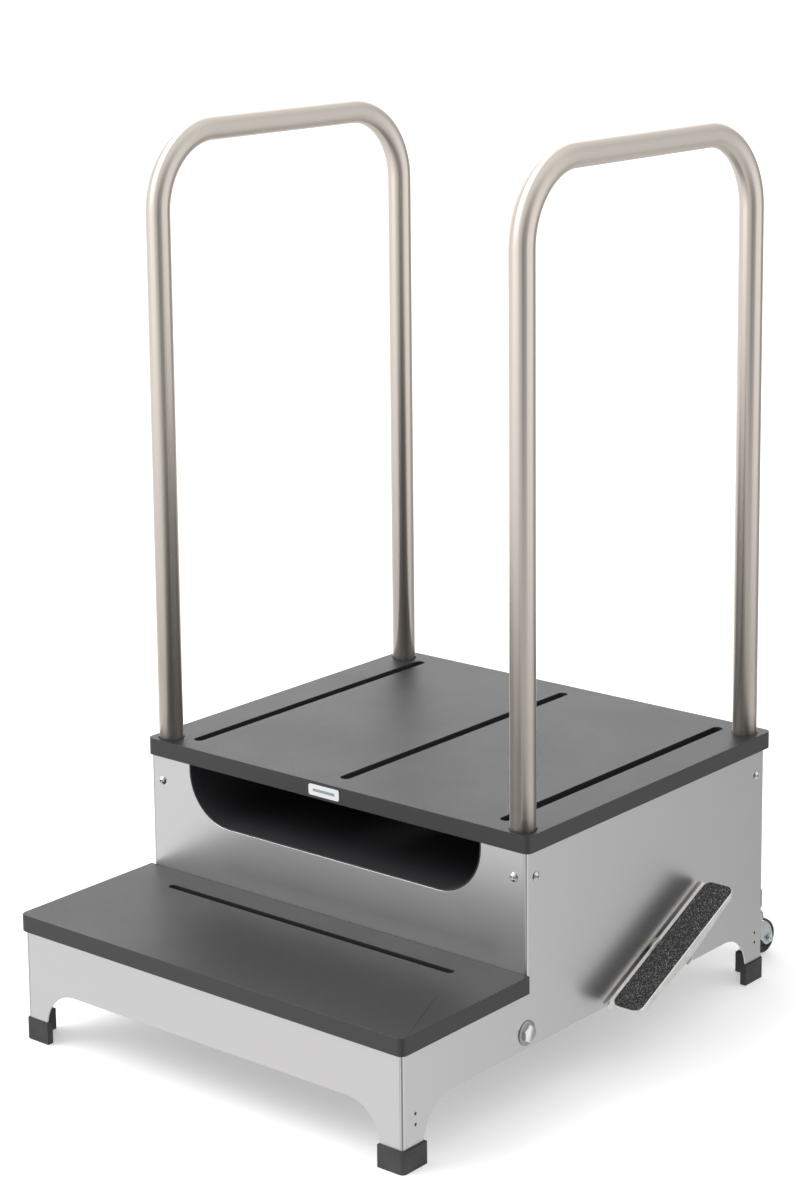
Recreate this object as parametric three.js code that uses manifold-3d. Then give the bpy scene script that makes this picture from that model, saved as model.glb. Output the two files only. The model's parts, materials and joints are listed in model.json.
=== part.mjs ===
// A two-step platform stool with two fixed handrails, a pocket and slots for flat
// cassettes, and a foot pedal that swings a pair of rear casters down to the floor.
// Millimetres. X runs across the stool with the pedal on +X, the climbing side is -Y, Z is up.
// While it is built, X = 0 lies midway between the side panels, Y = 0 on the riser's front
// face and Z = 0 on the floor. The finished group is moved so that its own origin is the
// bottom centre of its bounding box.
import * as THREE from "three";
import { mergeVertices } from "three/addons/utils/BufferGeometryUtils.js";
import Module from "manifold-3d";

const wasm = await Module();
wasm.setup();

// ---- Driving dimensions ----

// Body of folded sheet
const bodyWidth = 616;
const lowerBodyDepth = 231; // front panel to riser
const upperBodyDepth = 512.5; // riser to rear panel
const sheet = 2;
const bendRadius = 3.5;
const flangeDepth = 20;
const archHeight = 73.5;
const rearArchHeight = 122; // the carriage arms leave under this one
const archRadius = 50;
const sideLegWidth = 37.5;
const faceLegWidth = 33.5; // legs on the front and rear panels

// Treads
const upperStepHeight = 339;
const lowerStepHeight = 166;
const treadThickness = 22.2;
const treadCornerRadius = 9;
const treadSideOverhang = 5;
const lowerTreadFrontOverhang = 5;
const upperTreadFrontOverhang = 3;
const upperTreadRearOverhang = 9.5;

// Cassette slots, pocket and their liners
const upperSlotWidth = 14.5;
const slotFrontSetback = 26; // riser to the slots' front ends
const slotRearSetback = 20.5; // slots' rear ends to the rear panel
const slotTroughToPost = 11.5;
const lowerSlotWidth = 11;
const lowerSlotSideSetback = 74; // slot's ends to the side panels
const lowerSlotSetback = 46.5; // slot centre to riser
const trayToTrough = 4;
const pocketFloorHeight = 243;
const pocketCornerRadius = 65;
const trayRearSetback = 24; // tray's back wall to the rear panel
const linerSheet = 1.5;
const troughDepth = 75;
const lowerTroughDepth = 58;

// Handrails
const railDiameter = 31.75;
const railWall = 1.65;
const railTopHeight = 1143; // over the top of the tube
const railBendRadius = 100; // on the tube's centre line
const postGapToFace = 0.625; // post to the inside of the riser and rear panels
const postGapToSide = 1.125; // post to the inside of the side panels
const postFootHeight = 262;
const postHoleClearance = 1.2;
const plugLength = 46;

// Post screws
const screwHeight = 284;
const screwDiameter = 6;
const screwHeadDiameter = 11.4;
const screwHeadHeight = 3.6;
const screwLength = 10.5; // from the panel's face into the plug
const socketWidth = 4;
const socketDepth = 1.8;

// Feet
const footHeight = 28;
const footEndWall = 2.7; // closes the groove past the sheet leg
const footOuterWall = 2.5;
const footInnerWall = 4;
const footSole = 3.2;

// Small plate on the front edge of the upper tread
const labelWidth = 50;
const labelHeight = 14.5;
const labelThickness = 0.8;
const labelCornerRadius = 3;
const labelOffset = -5; // from the middle, along X

// Caster carriage
const hingeHeight = 93.5;
const hingeBarDiameter = 22;
const armInset = 63; // arm centre to the outside of the side panels
const armThickness = 6;
const armHeight = 30; // round the hinge
const armRearHeight = 22; // past its crank, under the cams
const armRearRise = 2.5; // its lower edge over the cross tube's underside
const crankStart = 30; // behind the hinge
const crankEnd = 110;
const crossTubeSize = 25;
const crossTubeWall = 2;
const crossTubeEnd = 8; // past the casters' stems
const crossTubeDrop = 8; // tube's underside below the arms' round ends
const crossTubeGapToRear = 35; // lets the casters swivel clear of the rear legs
const carriageDropDegrees = 2;

// Hinge bolts
const hingeBoltDiameter = 12;
const hingeBoltReach = 30; // into the bar
const hingeWasherDiameter = 31;
const hingeWasherThickness = 2;
const hingeHeadWidth = 20; // across the flats
const hingeHeadHeight = 4.5;
const hingeHeadChamfer = 1.5;

// Casters
const casterInset = 46; // stem to the outside of the side panels
const wheelDiameter = 48;
const wheelWidth = 21;
const tyreThickness = 7;
const wheelLift = 2; // wheel above the floor with the pedal up
const casterTrail = 20;
const forkSheet = 2.2;
const forkGap = 1.6; // wheel to fork
const forkCrownRadius = 9.6;
const forkBossRadius = 9; // round the axle
const forkBossOffset = 2; // fore and aft of the axle
const hoodSetback = 18; // its round back is centred ahead of the axle, so the tyre shows
const casterAxleDiameter = 6;
const casterNutWidth = 9.7; // across the flats
const casterNutThickness = 4.5;
const casterAxleHeadDiameter = 10.4;
const casterAxleHeadHeight = 2.5;
const casterAxleEnd = 1; // out of the nut
const treadShoulder = 3; // rounded off the tyre's edges, on the radius
const tyreSetback = 1; // tyre's sides to the hub's
const hubDish = 2;
const swivelDiameter = 32;
const stemDiameter = 10;
const stemTopGap = 2; // to the cross tube's upper wall

// Pedal, its cross shaft and cams
const shaftSetback = 269.5; // behind the riser
const shaftHeight = 116;
const shaftDiameter = 16;
const pedalRestDegrees = 25; // rear end up; it swings down as far again below level
const pedalLength = 232;
const pedalWidth = 43.5;
const pedalSheet = 2.5;
const pedalCornerRadius = 11;
const pedalTopAboveShaft = 14;
const pedalEdgeDepth = 6; // folded edge at the ends
const pedalEdgeMiddleDepth = 13; // folded edge at the middle
const pedalGapToLever = 2.5;
const leverGapToPanel = 3;
const leverThickness = 2.5;
const leverCornerRadius = 6;
const leverEndDepth = 10;
const leverHubWall = 4; // round the hub's underside
const hubDiameter = 21;
const gripBorder = 1.3;
const gripThickness = 1.2;
const camThickness = 10;
const bushFlangeDiameter = 28;
const bushDiameter = 21;
const bushFlangeThickness = 1.5;
const bushInside = 8; // past the side panel's inner face
const shaftEnd = 4; // past the left bush

// Carriage return springs
const springSetback = 330; // behind the riser
const springStudHeight = 222;
const springStudDiameter = 8;
const springStudRim = 2; // of its inner head, past the shank and along it
const springStudFoot = 3; // its foot on the panel, past the shank
const springDiameter = 14;

// Supports under the upper tread
const angleSize = 25;
const angleThickness = 3;

// Clearances
const gap = 0.3; // between pieces that touch
const fitGap = 0.3; // round a shaft, bolt or tube, on the radius

// Facets
const smallSides = 12;
const roundSides = 20;
const tubeSides = 16;
const postHoleSides = 32;
const bendSteps = 7;
const cornerSteps = 4;
const treadCornerSteps = 8;
const archSteps = 12;
const pedalArcSteps = 8;

// ---- Positions that follow from them ----

const sideFace = bodyWidth / 2;
const frontFace = -lowerBodyDepth;
const rearFace = upperBodyDepth;
const panelFoot = footSole + gap; // the sheet's lower edge, inside the foot caps
const upperTreadUnderside = upperStepHeight - treadThickness;
const lowerTreadUnderside = lowerStepHeight - treadThickness;
const upperPanelTop = upperTreadUnderside - gap;
const lowerPanelTop = lowerTreadUnderside - gap;
const railRadius = railDiameter / 2;
const postInset = railRadius + sheet + postGapToFace; // to the outside of riser and rear
const postSideInset = railRadius + sheet + postGapToSide; // to the outside of the sides
const postX = sideFace - postSideInset;
const frontPostY = postInset;
const rearPostY = rearFace - postInset;
const railLegTop = railTopHeight - railRadius - railBendRadius;
const troughHalfWidth = upperSlotWidth / 2 + gap + linerSheet;
const upperSlotPitch = postX - railRadius - slotTroughToPost - troughHalfWidth;
const upperSlotLength = rearFace - slotFrontSetback - slotRearSetback;
const slotMiddleY = slotFrontSetback + upperSlotLength / 2;
const lowerSlotLength = bodyWidth - 2 * lowerSlotSideSetback;
const pocketHalfWidth = upperSlotPitch - troughHalfWidth - trayToTrough - linerSheet;
const rearFlangeDepth = slotRearSetback - linerSheet - 3 * gap;
const armOffset = sideFace - armInset; // from the middle of the stool
const casterOffset = sideFace - casterInset;
const axleHeight = wheelLift + wheelDiameter / 2;
const crossTubeY = rearFace + crossTubeGapToRear + crossTubeSize / 2;
const crossTubeBottom = hingeHeight - armHeight / 2 - crossTubeDrop;
const armRearBottom = crossTubeBottom + armRearRise;
const armRearTop = armRearBottom + armRearHeight;

// A cam's centre starts as far above the shaft as it ends below it, so it moves the arms
// almost in proportion to the pedal. Its throw is the one that leaves it just clear of the
// arms at both ends of the swing.
const halfSwing = THREE.MathUtils.degToRad(pedalRestDegrees);
const carriageDrop = THREE.MathUtils.degToRad(carriageDropDegrees);
const shaftRise = shaftHeight - hingeHeight;
const camThrow =
  (shaftSetback * Math.sin(carriageDrop) - shaftRise * (1 - Math.cos(carriageDrop))) /
  (Math.sin(halfSwing) * (1 + Math.cos(carriageDrop)) -
    Math.cos(halfSwing) * Math.sin(carriageDrop));
const camCentreY = camThrow * Math.cos(halfSwing);
const camCentreZ = camThrow * Math.sin(halfSwing);
const camRadius = shaftHeight + camCentreZ - armRearTop - gap;

// ---- Materials ----

function finish(color, roughness, metalness) {
  return new THREE.MeshStandardMaterial({ color, roughness, metalness });
}
const brushedPanel = () => finish(0xc9c8c6, 0.42, 0.85);
const brushedTube = () => finish(0xb9b0a6, 0.3, 0.95);
const treadPlastic = () => finish(0x3c3c3f, 0.55, 0);
const linerBlack = () => finish(0x1b1b1d, 0.6, 0.2);
const rubberBlack = () => finish(0x262628, 0.8, 0);
const chrome = () => finish(0xd8d8da, 0.15, 1);
const zinc = () => finish(0xb8babd, 0.35, 0.9);
const plainSteel = () => finish(0x8d8f92, 0.45, 0.9);
const pedalMetal = () => finish(0xd2d1cd, 0.35, 0.85);
const gritBlack = () => finish(0x2e2e2f, 0.95, 0);
const labelWhite = () => finish(0xe8ecee, 0.4, 0);
const plugPlastic = () => finish(0x303234, 0.6, 0);
const bronze = () => finish(0x9a7a45, 0.4, 0.8);

// ---- Outlines and geometry helpers ----

function arc(u, v, radius, fromDegrees, toDegrees, steps) {
  return Array.from({ length: steps + 1 }, (_, i) => {
    const degrees = fromDegrees + ((toDegrees - fromDegrees) * i) / steps;
    const angle = THREE.MathUtils.degToRad(degrees);
    return new THREE.Vector2(u + radius * Math.cos(angle), v + radius * Math.sin(angle));
  });
}

function point(u, v) {
  return new THREE.Vector2(u, v);
}

function circle(u, v, radius, steps) {
  return arc(u, v, radius, 0, 360, steps).slice(0, -1);
}

function rectangle(u0, u1, v0, v1) {
  return [point(u0, v0), point(u1, v0), point(u1, v1), point(u0, v1)];
}

function roundedRectangle(u0, u1, v0, v1, radius, steps = cornerSteps) {
  return [
    ...arc(u1 - radius, v0 + radius, radius, -90, 0, steps),
    ...arc(u1 - radius, v1 - radius, radius, 0, 90, steps),
    ...arc(u0 + radius, v1 - radius, radius, 90, 180, steps),
    ...arc(u0 + radius, v0 + radius, radius, 180, 270, steps),
  ];
}

// A slot with round ends, centred on (u, v), its length along u or along v.
function slotOutline(u, v, length, width, alongU) {
  const radius = width / 2;
  const reach = length / 2 - radius;
  if (alongU) {
    return [
      ...arc(u + reach, v, radius, -90, 90, archSteps),
      ...arc(u - reach, v, radius, 90, 270, archSteps),
    ];
  }
  return [
    ...arc(u, v + reach, radius, 0, 180, archSteps),
    ...arc(u, v - reach, radius, 180, 360, archSteps),
  ];
}

// The lower edge of a panel between two legs, from its high-u leg to its low-u leg.
function archEdge(u0, u1, height, legWidth) {
  const radius = Math.min(archRadius, height - panelFoot);
  const springing = height - radius;
  return [
    point(u1 - legWidth, panelFoot),
    ...arc(u1 - legWidth - radius, springing, radius, 0, 90, archSteps),
    ...arc(u0 + legWidth + radius, springing, radius, 90, 180, archSteps),
    point(u0 + legWidth, panelFoot),
  ];
}

// A flat plate with holes, its outline in the plane XY, YZ or XZ, filling the third axis
// between two values.
function prism(outline, plane, from, to, holes = []) {
  const shape = new THREE.Shape(outline);
  for (const hole of holes) shape.holes.push(new THREE.Path(hole));
  const geometry = new THREE.ExtrudeGeometry(shape, { depth: to - from, bevelEnabled: false });
  const frames = {
    XY: [[1, 0, 0], [0, 1, 0], [0, 0, 1], [0, 0, from]],
    YZ: [[0, 1, 0], [0, 0, 1], [1, 0, 0], [from, 0, 0]],
    XZ: [[1, 0, 0], [0, 0, 1], [0, -1, 0], [0, to, 0]],
  };
  const [u, v, w, place] = frames[plane].map((numbers) => new THREE.Vector3(...numbers));
  const matrix = new THREE.Matrix4().makeBasis(u, v, w).setPosition(place);
  return geometry.applyMatrix4(matrix);
}

function block(x0, x1, y0, y1, z0, z1) {
  return prism(rectangle(x0, x1, y0, y1), "XY", z0, z1);
}

// A solid of revolution about Z from a profile of [radius, height] pairs, turned to point
// along +X, +Y or +Z.
function turned(profile, axis = "Z", sides = smallSides) {
  const points = profile.map(([radius, height]) => point(radius, height));
  const geometry = new THREE.LatheGeometry(points, sides);
  if (axis === "X") return geometry.rotateZ(-Math.PI / 2);
  if (axis === "Z") return geometry.rotateX(Math.PI / 2);
  return geometry;
}

function rod(radius, from, to, axis, sides = smallSides) {
  return turned([[0, from], [radius, from], [radius, to], [0, to]], axis, sides);
}

function solid(geometry) {
  const bare = geometry.clone();
  bare.deleteAttribute("normal");
  bare.deleteAttribute("uv");
  const merged = mergeVertices(bare, 1e-4);
  const triVerts = new Uint32Array(merged.index.array);
  const vertProperties = merged.getAttribute("position").array;
  return new wasm.Manifold(new wasm.Mesh({ numProp: 3, vertProperties, triVerts }));
}

function geometryOf(body) {
  const mesh = body.getMesh();
  const indexed = new THREE.BufferGeometry();
  indexed.setAttribute("position", new THREE.BufferAttribute(mesh.vertProperties, 3));
  indexed.setIndex(new THREE.BufferAttribute(mesh.triVerts, 1));
  const geometry = indexed.toNonIndexed();
  geometry.computeVertexNormals();
  return geometry;
}

function join(...geometries) {
  return geometryOf(geometries.map(solid).reduce((whole, piece) => whole.add(piece)));
}

function cut(geometry, ...tools) {
  return geometryOf(tools.map(solid).reduce((body, tool) => body.subtract(tool), solid(geometry)));
}

// A mirrored geometry with its faces turned round to point outwards again.
function flipped(geometry) {
  const positions = geometry.getAttribute("position");
  const turnedOver = new Float32Array(positions.array);
  for (let i = 0; i < positions.count; i += 3) {
    for (let axis = 0; axis < 3; axis++) {
      turnedOver[3 * (i + 1) + axis] = positions.array[3 * (i + 2) + axis];
      turnedOver[3 * (i + 2) + axis] = positions.array[3 * (i + 1) + axis];
    }
  }
  const result = new THREE.BufferGeometry();
  result.setAttribute("position", new THREE.BufferAttribute(turnedOver, 3));
  return result;
}

const stool = new THREE.Group();

function place(name, geometry, material, parent = stool) {
  const mesh = new THREE.Mesh(geometry, material);
  mesh.name = name;
  parent.add(mesh);
  return mesh;
}

// The same piece on the left and the right: the left one is its mirror image.
function placePair(name, geometry, material, parent = stool) {
  place(`${name}_right`, geometry, material(), parent);
  place(`${name}_left`, geometry, material(), parent).scale.x = -1;
}

// ---- Sheet body ----

// The rounded vertical edge of a side panel, where it turns into the front, riser or rear.
function cornerBend(faceY, inward, z0, z1) {
  const centreX = sideFace - bendRadius;
  const centreY = faceY + inward * bendRadius;
  const start = inward > 0 ? -90 : 90;
  const outline = [
    ...arc(centreX, centreY, bendRadius, start, 0, cornerSteps),
    ...arc(centreX, centreY, bendRadius - sheet, 0, start, cornerSteps),
  ];
  return prism(outline, "XY", z0, z1);
}

function sidePanel() {
  const front = frontFace + bendRadius;
  const rear = rearFace - bendRadius;
  const outline = [
    point(front, panelFoot),
    point(front, lowerPanelTop),
    point(bendRadius, lowerPanelTop),
    point(bendRadius, upperPanelTop),
    point(rear, upperPanelTop),
    point(rear, panelFoot),
    ...archEdge(frontFace, rearFace, archHeight, sideLegWidth),
  ];
  const screwHole = screwDiameter / 2 + fitGap;
  const holes = [
    circle(frontPostY, screwHeight, screwHole, smallSides),
    circle(rearPostY, screwHeight, screwHole, smallSides),
    circle(0, hingeHeight, hingeBoltDiameter / 2 + fitGap, smallSides),
    circle(shaftSetback, shaftHeight, bushDiameter / 2 + fitGap, roundSides),
  ];
  return join(
    prism(outline, "YZ", sideFace - sheet, sideFace, holes),
    cornerBend(frontFace, 1, panelFoot, lowerPanelTop),
    cornerBend(0, 1, lowerPanelTop, upperPanelTop),
    cornerBend(rearFace, -1, panelFoot, upperPanelTop),
  );
}
placePair("side_panel", sidePanel(), brushedPanel);

const faceHalfWidth = sideFace - bendRadius - gap; // front, riser and rear panels

function frontPanel() {
  const outline = [
    point(-faceHalfWidth, panelFoot),
    point(-faceHalfWidth, lowerPanelTop),
    point(faceHalfWidth, lowerPanelTop),
    point(faceHalfWidth, panelFoot),
    ...archEdge(-sideFace, sideFace, archHeight, faceLegWidth),
  ];
  const flangeX = faceHalfWidth - bendRadius;
  return join(
    prism(outline, "XZ", frontFace, frontFace + sheet),
    block(-flangeX, flangeX, frontFace + sheet / 2, frontFace + flangeDepth,
      lowerPanelTop - sheet, lowerPanelTop),
  );
}
place("front_panel", frontPanel(), brushedPanel());

// The pocket's outline, drawn larger by an offset all round and open to a given height.
function pocketOutline(offset, top) {
  const half = pocketHalfWidth + offset;
  const floor = pocketFloorHeight - offset;
  const radius = pocketCornerRadius + offset;
  return [
    point(half, top),
    point(-half, top),
    ...arc(-half + radius, floor + radius, radius, 180, 270, archSteps),
    ...arc(half - radius, floor + radius, radius, 270, 360, archSteps),
  ];
}

function riserPanel() {
  const foot = lowerPanelTop - sheet;
  const screwHole = screwDiameter / 2 + fitGap;
  const holes = [-postX, postX].map((x) => circle(x, screwHeight, screwHole, smallSides));
  const face = prism(
    rectangle(-faceHalfWidth, faceHalfWidth, foot, upperPanelTop), "XZ", 0, sheet, holes);
  const ledge = block(-faceHalfWidth + bendRadius, faceHalfWidth - bendRadius,
    -flangeDepth, sheet / 2, foot, lowerPanelTop);
  const pocket = prism(pocketOutline(linerSheet + gap, upperPanelTop + sheet), "XZ",
    -sheet, 2 * sheet);
  return cut(join(face, ledge), pocket);
}
place("riser_panel", riserPanel(), brushedPanel());

function rearPanel() {
  const outline = [
    point(-faceHalfWidth, panelFoot),
    point(-faceHalfWidth, upperPanelTop),
    point(faceHalfWidth, upperPanelTop),
    point(faceHalfWidth, panelFoot),
    ...archEdge(-sideFace, sideFace, rearArchHeight, faceLegWidth),
  ];
  const screwHole = screwDiameter / 2 + fitGap;
  const holes = [-postX, postX].map((x) => circle(x, screwHeight, screwHole, smallSides));
  const flangeX = postX - railRadius - bendRadius;
  return join(
    prism(outline, "XZ", rearFace - sheet, rearFace, holes),
    block(-flangeX, flangeX, rearFace - rearFlangeDepth, rearFace - sheet / 2,
      upperPanelTop - sheet, upperPanelTop),
  );
}
place("rear_panel", rearPanel(), brushedPanel());

// ---- Treads ----

const treadHalfWidth = sideFace + treadSideOverhang;

function upperTread() {
  const outline = roundedRectangle(-treadHalfWidth, treadHalfWidth,
    -upperTreadFrontOverhang, rearFace + upperTreadRearOverhang, treadCornerRadius,
    treadCornerSteps);
  const postHole = railRadius + postHoleClearance;
  const holes = [-1, 0, 1].map((column) =>
    slotOutline(column * upperSlotPitch, slotMiddleY, upperSlotLength, upperSlotWidth, false));
  for (const x of [-postX, postX]) {
    for (const y of [frontPostY, rearPostY]) holes.push(circle(x, y, postHole, postHoleSides));
  }
  return prism(outline, "XY", upperTreadUnderside, upperStepHeight, holes);
}
place("upper_tread", upperTread(), treadPlastic());

function lowerTread() {
  const front = frontFace - lowerTreadFrontOverhang;
  const outline = [
    point(treadHalfWidth, -gap),
    point(-treadHalfWidth, -gap),
    ...arc(-treadHalfWidth + treadCornerRadius, front + treadCornerRadius,
      treadCornerRadius, 180, 270, treadCornerSteps),
    ...arc(treadHalfWidth - treadCornerRadius, front + treadCornerRadius,
      treadCornerRadius, 270, 360, treadCornerSteps),
  ];
  const slot = slotOutline(0, -lowerSlotSetback, lowerSlotLength, lowerSlotWidth, true);
  return prism(outline, "XY", lowerTreadUnderside, lowerStepHeight, [slot]);
}
place("lower_tread", lowerTread(), treadPlastic());

const labelFoot = upperTreadUnderside + (treadThickness - labelHeight) / 2;
const labelFace = -upperTreadFrontOverhang - gap;
place("label_plate",
  prism(roundedRectangle(labelOffset - labelWidth / 2, labelOffset + labelWidth / 2,
    labelFoot, labelFoot + labelHeight, labelCornerRadius), "XZ", labelFace - labelThickness, labelFace),
  labelWhite());

// Angles screwed inside the side panels, between the posts.
function treadAngle() {
  const outside = sideFace - sheet - gap;
  const y0 = frontPostY + railRadius + angleThickness;
  const y1 = rearPostY - railRadius - angleThickness;
  const outline = [
    point(outside, upperPanelTop),
    point(outside - angleSize, upperPanelTop),
    point(outside - angleSize, upperPanelTop - angleThickness),
    point(outside - angleThickness, upperPanelTop - angleThickness),
    point(outside - angleThickness, upperPanelTop - angleSize),
    point(outside, upperPanelTop - angleSize),
  ];
  return prism(outline, "XZ", y0, y1);
}
placePair("tread_angle", treadAngle(), plainSteel);

// ---- Cassette liners ----

function cassetteTray() {
  const front = 0; // flush with the riser
  const rear = rearFace - trayRearSetback;
  const shell = prism(pocketOutline(linerSheet, upperPanelTop), "XZ", front, rear);
  const hollow = prism(pocketOutline(0, upperPanelTop + linerSheet), "XZ",
    front - linerSheet, rear - linerSheet);
  return cut(shell, hollow);
}
place("cassette_tray", cassetteTray(), linerBlack());

// An open-topped trough under a slot, centred on (x, y).
function trough(x, y, lengthX, lengthY, top, depth) {
  const halfX = lengthX / 2 + gap;
  const halfY = lengthY / 2 + gap;
  const wall = linerSheet;
  return cut(
    block(x - halfX - wall, x + halfX + wall, y - halfY - wall, y + halfY + wall,
      top - depth, top),
    block(x - halfX, x + halfX, y - halfY, y + halfY, top - depth + wall, top + wall),
  );
}
placePair("cassette_trough",
  trough(upperSlotPitch, slotMiddleY, upperSlotWidth, upperSlotLength, upperPanelTop, troughDepth),
  linerBlack);
place("lower_cassette_trough",
  trough(0, -lowerSlotSetback, lowerSlotLength, lowerSlotWidth, lowerPanelTop, lowerTroughDepth),
  linerBlack());

// ---- Handrails ----

// A path through chosen stations, each a place and a direction, so that straight lengths
// take one step and bends take several.
class StationPath extends THREE.Curve {
  constructor(stations) {
    super();
    this.stations = stations;
  }
  station(t) {
    return this.stations[Math.round(t * (this.stations.length - 1))];
  }
  getPoint(t) {
    return this.station(t).place.clone();
  }
  getPointAt(t) {
    return this.getPoint(t);
  }
  getTangent(t) {
    return this.station(t).direction.clone();
  }
  getTangentAt(t) {
    return this.getTangent(t);
  }
}

function bendStations(centreY, fromDegrees, toDegrees) {
  return Array.from({ length: bendSteps + 1 }, (_, i) => {
    const degrees = fromDegrees + ((toDegrees - fromDegrees) * i) / bendSteps;
    const angle = THREE.MathUtils.degToRad(degrees);
    const y = centreY + railBendRadius * Math.cos(angle);
    const z = railLegTop + railBendRadius * Math.sin(angle);
    return {
      place: new THREE.Vector3(postX, y, z),
      direction: new THREE.Vector3(0, Math.sin(angle), -Math.cos(angle)),
    };
  });
}

function railRod(radius, footHeight) {
  const up = new THREE.Vector3(0, 0, 1);
  const down = new THREE.Vector3(0, 0, -1);
  const stations = [
    { place: new THREE.Vector3(postX, frontPostY, footHeight), direction: up },
    ...bendStations(frontPostY + railBendRadius, 180, 90),
    ...bendStations(rearPostY - railBendRadius, 90, 0),
    { place: new THREE.Vector3(postX, rearPostY, footHeight), direction: down },
  ];
  return new THREE.ExtrudeGeometry(new THREE.Shape(circle(0, 0, radius, tubeSides)), {
    steps: stations.length - 1,
    bevelEnabled: false,
    extrudePath: new StationPath(stations),
  });
}

// The shank holes of a post's two screws, one towards the side panel and one towards the
// riser or rear panel.
function postScrewHoles(y, outwardY) {
  const radius = screwDiameter / 2 + fitGap;
  const reach = postInset + railDiameter;
  const toSide = rod(radius, postSideInset - screwLength - gap, reach, "X")
    .translate(postX, y, screwHeight);
  const toFace = rod(radius, postInset - screwLength - gap, reach, "Y")
    .rotateZ(outwardY > 0 ? 0 : Math.PI)
    .translate(postX, y, screwHeight);
  return [toSide, toFace];
}

function handrail() {
  return cut(
    railRod(railRadius, postFootHeight),
    railRod(railRadius - railWall, postFootHeight - railWall),
    ...postScrewHoles(frontPostY, -1),
    ...postScrewHoles(rearPostY, 1),
  );
}
placePair("handrail", handrail(), brushedTube);

function postPlug(y, outwardY) {
  const radius = railRadius - railWall - fitGap;
  const body = rod(radius, postFootHeight, postFootHeight + plugLength, "Z", tubeSides)
    .translate(postX, y, 0);
  return cut(body, ...postScrewHoles(y, outwardY));
}
placePair("front_post_plug", postPlug(frontPostY, -1), plugPlastic);
placePair("rear_post_plug", postPlug(rearPostY, 1), plugPlastic);

// A button-head screw along +Y, with the underside of its head at 0 and a hexagon socket.
function buttonScrew() {
  const rim = screwHeadHeight * 0.28;
  const headRadius = screwHeadDiameter / 2;
  const body = turned([
    [0, -screwLength],
    [screwDiameter / 2, -screwLength],
    [screwDiameter / 2, gap],
    [headRadius, gap],
    [headRadius, gap + rim],
    [headRadius * 0.84, gap + screwHeadHeight * 0.72],
    [headRadius * 0.5, gap + screwHeadHeight],
    [0, gap + screwHeadHeight],
  ], "Y");
  const socket = turned([
    [0, gap + screwHeadHeight - socketDepth],
    [socketWidth / Math.sqrt(3), gap + screwHeadHeight - socketDepth],
    [socketWidth / Math.sqrt(3), 2 * screwHeadHeight],
    [0, 2 * screwHeadHeight],
  ], "Y", 6);
  return cut(body, socket);
}
for (const [end, y, faceY, turn] of [
  ["front", frontPostY, 0, Math.PI],
  ["rear", rearPostY, rearFace, 0],
]) {
  placePair(`${end}_side_screw`,
    buttonScrew().rotateZ(-Math.PI / 2).translate(sideFace, y, screwHeight), chrome);
  placePair(`${end}_face_screw`,
    buttonScrew().rotateZ(turn).translate(postX, faceY, screwHeight), chrome);
}

// ---- Feet ----

// An L-shaped rubber cap that the corner of the sheet stands in, for the front right leg.
function footCap() {
  const outerX = sideFace + footOuterWall;
  const outerY = frontFace - footOuterWall;
  const thickness = footOuterWall + sheet + 2 * gap + footInnerWall;
  const grooveEndX = sideFace - faceLegWidth - gap;
  const grooveEndY = frontFace + sideLegWidth + gap;
  const wingX = grooveEndX - footEndWall;
  const wingY = grooveEndY + footEndWall;
  const corner = bendRadius + footOuterWall;
  const outline = [
    ...arc(outerX - corner, outerY + corner, corner, -90, 0, cornerSteps),
    point(outerX, wingY),
    point(outerX - thickness, wingY),
    point(outerX - thickness, outerY + thickness),
    point(wingX, outerY + thickness),
    point(wingX, outerY),
  ];
  const grooveX = sideFace + gap;
  const grooveY = frontFace - gap;
  const grooveWidth = sheet + 2 * gap;
  const grooveCorner = bendRadius + gap;
  const groove = [
    ...arc(grooveX - grooveCorner, grooveY + grooveCorner, grooveCorner, -90, 0, cornerSteps),
    point(grooveX, grooveEndY),
    point(grooveX - grooveWidth, grooveEndY),
    point(grooveX - grooveWidth, grooveY + grooveCorner),
    point(grooveX - grooveCorner, grooveY + grooveWidth),
    point(grooveEndX, grooveY + grooveWidth),
    point(grooveEndX, grooveY),
  ];
  return cut(
    prism(outline, "XY", 0, footHeight),
    prism(groove, "XY", footSole, footHeight + gap),
  );
}
placePair("front_foot_cap", footCap(), rubberBlack);
const turnedCap = footCap().translate(0, -frontFace, 0).scale(1, -1, 1).translate(0, rearFace, 0);
placePair("rear_foot_cap", geometryOf(solid(flipped(turnedCap))), rubberBlack);

// ---- Caster carriage ----

function hingeBolt() {
  const hexRadius = hingeHeadWidth / Math.sqrt(3);
  const shank = turned([
    [0, -hingeBoltReach],
    [hingeBoltDiameter / 2, -hingeBoltReach],
    [hingeBoltDiameter / 2, gap],
    [hingeWasherDiameter / 2, gap],
    [hingeWasherDiameter / 2, gap + hingeWasherThickness],
    [0, gap + hingeWasherThickness],
  ], "X", roundSides);
  const headFoot = gap + hingeWasherThickness / 2;
  const headTop = gap + hingeWasherThickness + hingeHeadHeight;
  const head = turned([
    [0, headFoot],
    [hexRadius, headFoot],
    [hexRadius, headTop - hingeHeadChamfer],
    [hexRadius - hingeHeadChamfer, headTop],
    [0, headTop],
  ], "X", 6);
  return join(shank, head).translate(sideFace, 0, hingeHeight);
}
placePair("hinge_bolt", hingeBolt(), chrome);

function hingeBar() {
  const reach = sideFace - sheet - gap;
  const bore = hingeBoltDiameter / 2 + fitGap;
  const boreEnd = sideFace - hingeBoltReach - gap;
  const bar = rod(hingeBarDiameter / 2, -reach, reach, "X", roundSides);
  return cut(bar,
    rod(bore, boreEnd, reach + gap, "X", roundSides),
    rod(bore, -reach - gap, -boreEnd, "X", roundSides),
  ).translate(0, 0, hingeHeight);
}
place("carriage_hinge_bar", hingeBar(), plainSteel());

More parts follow.
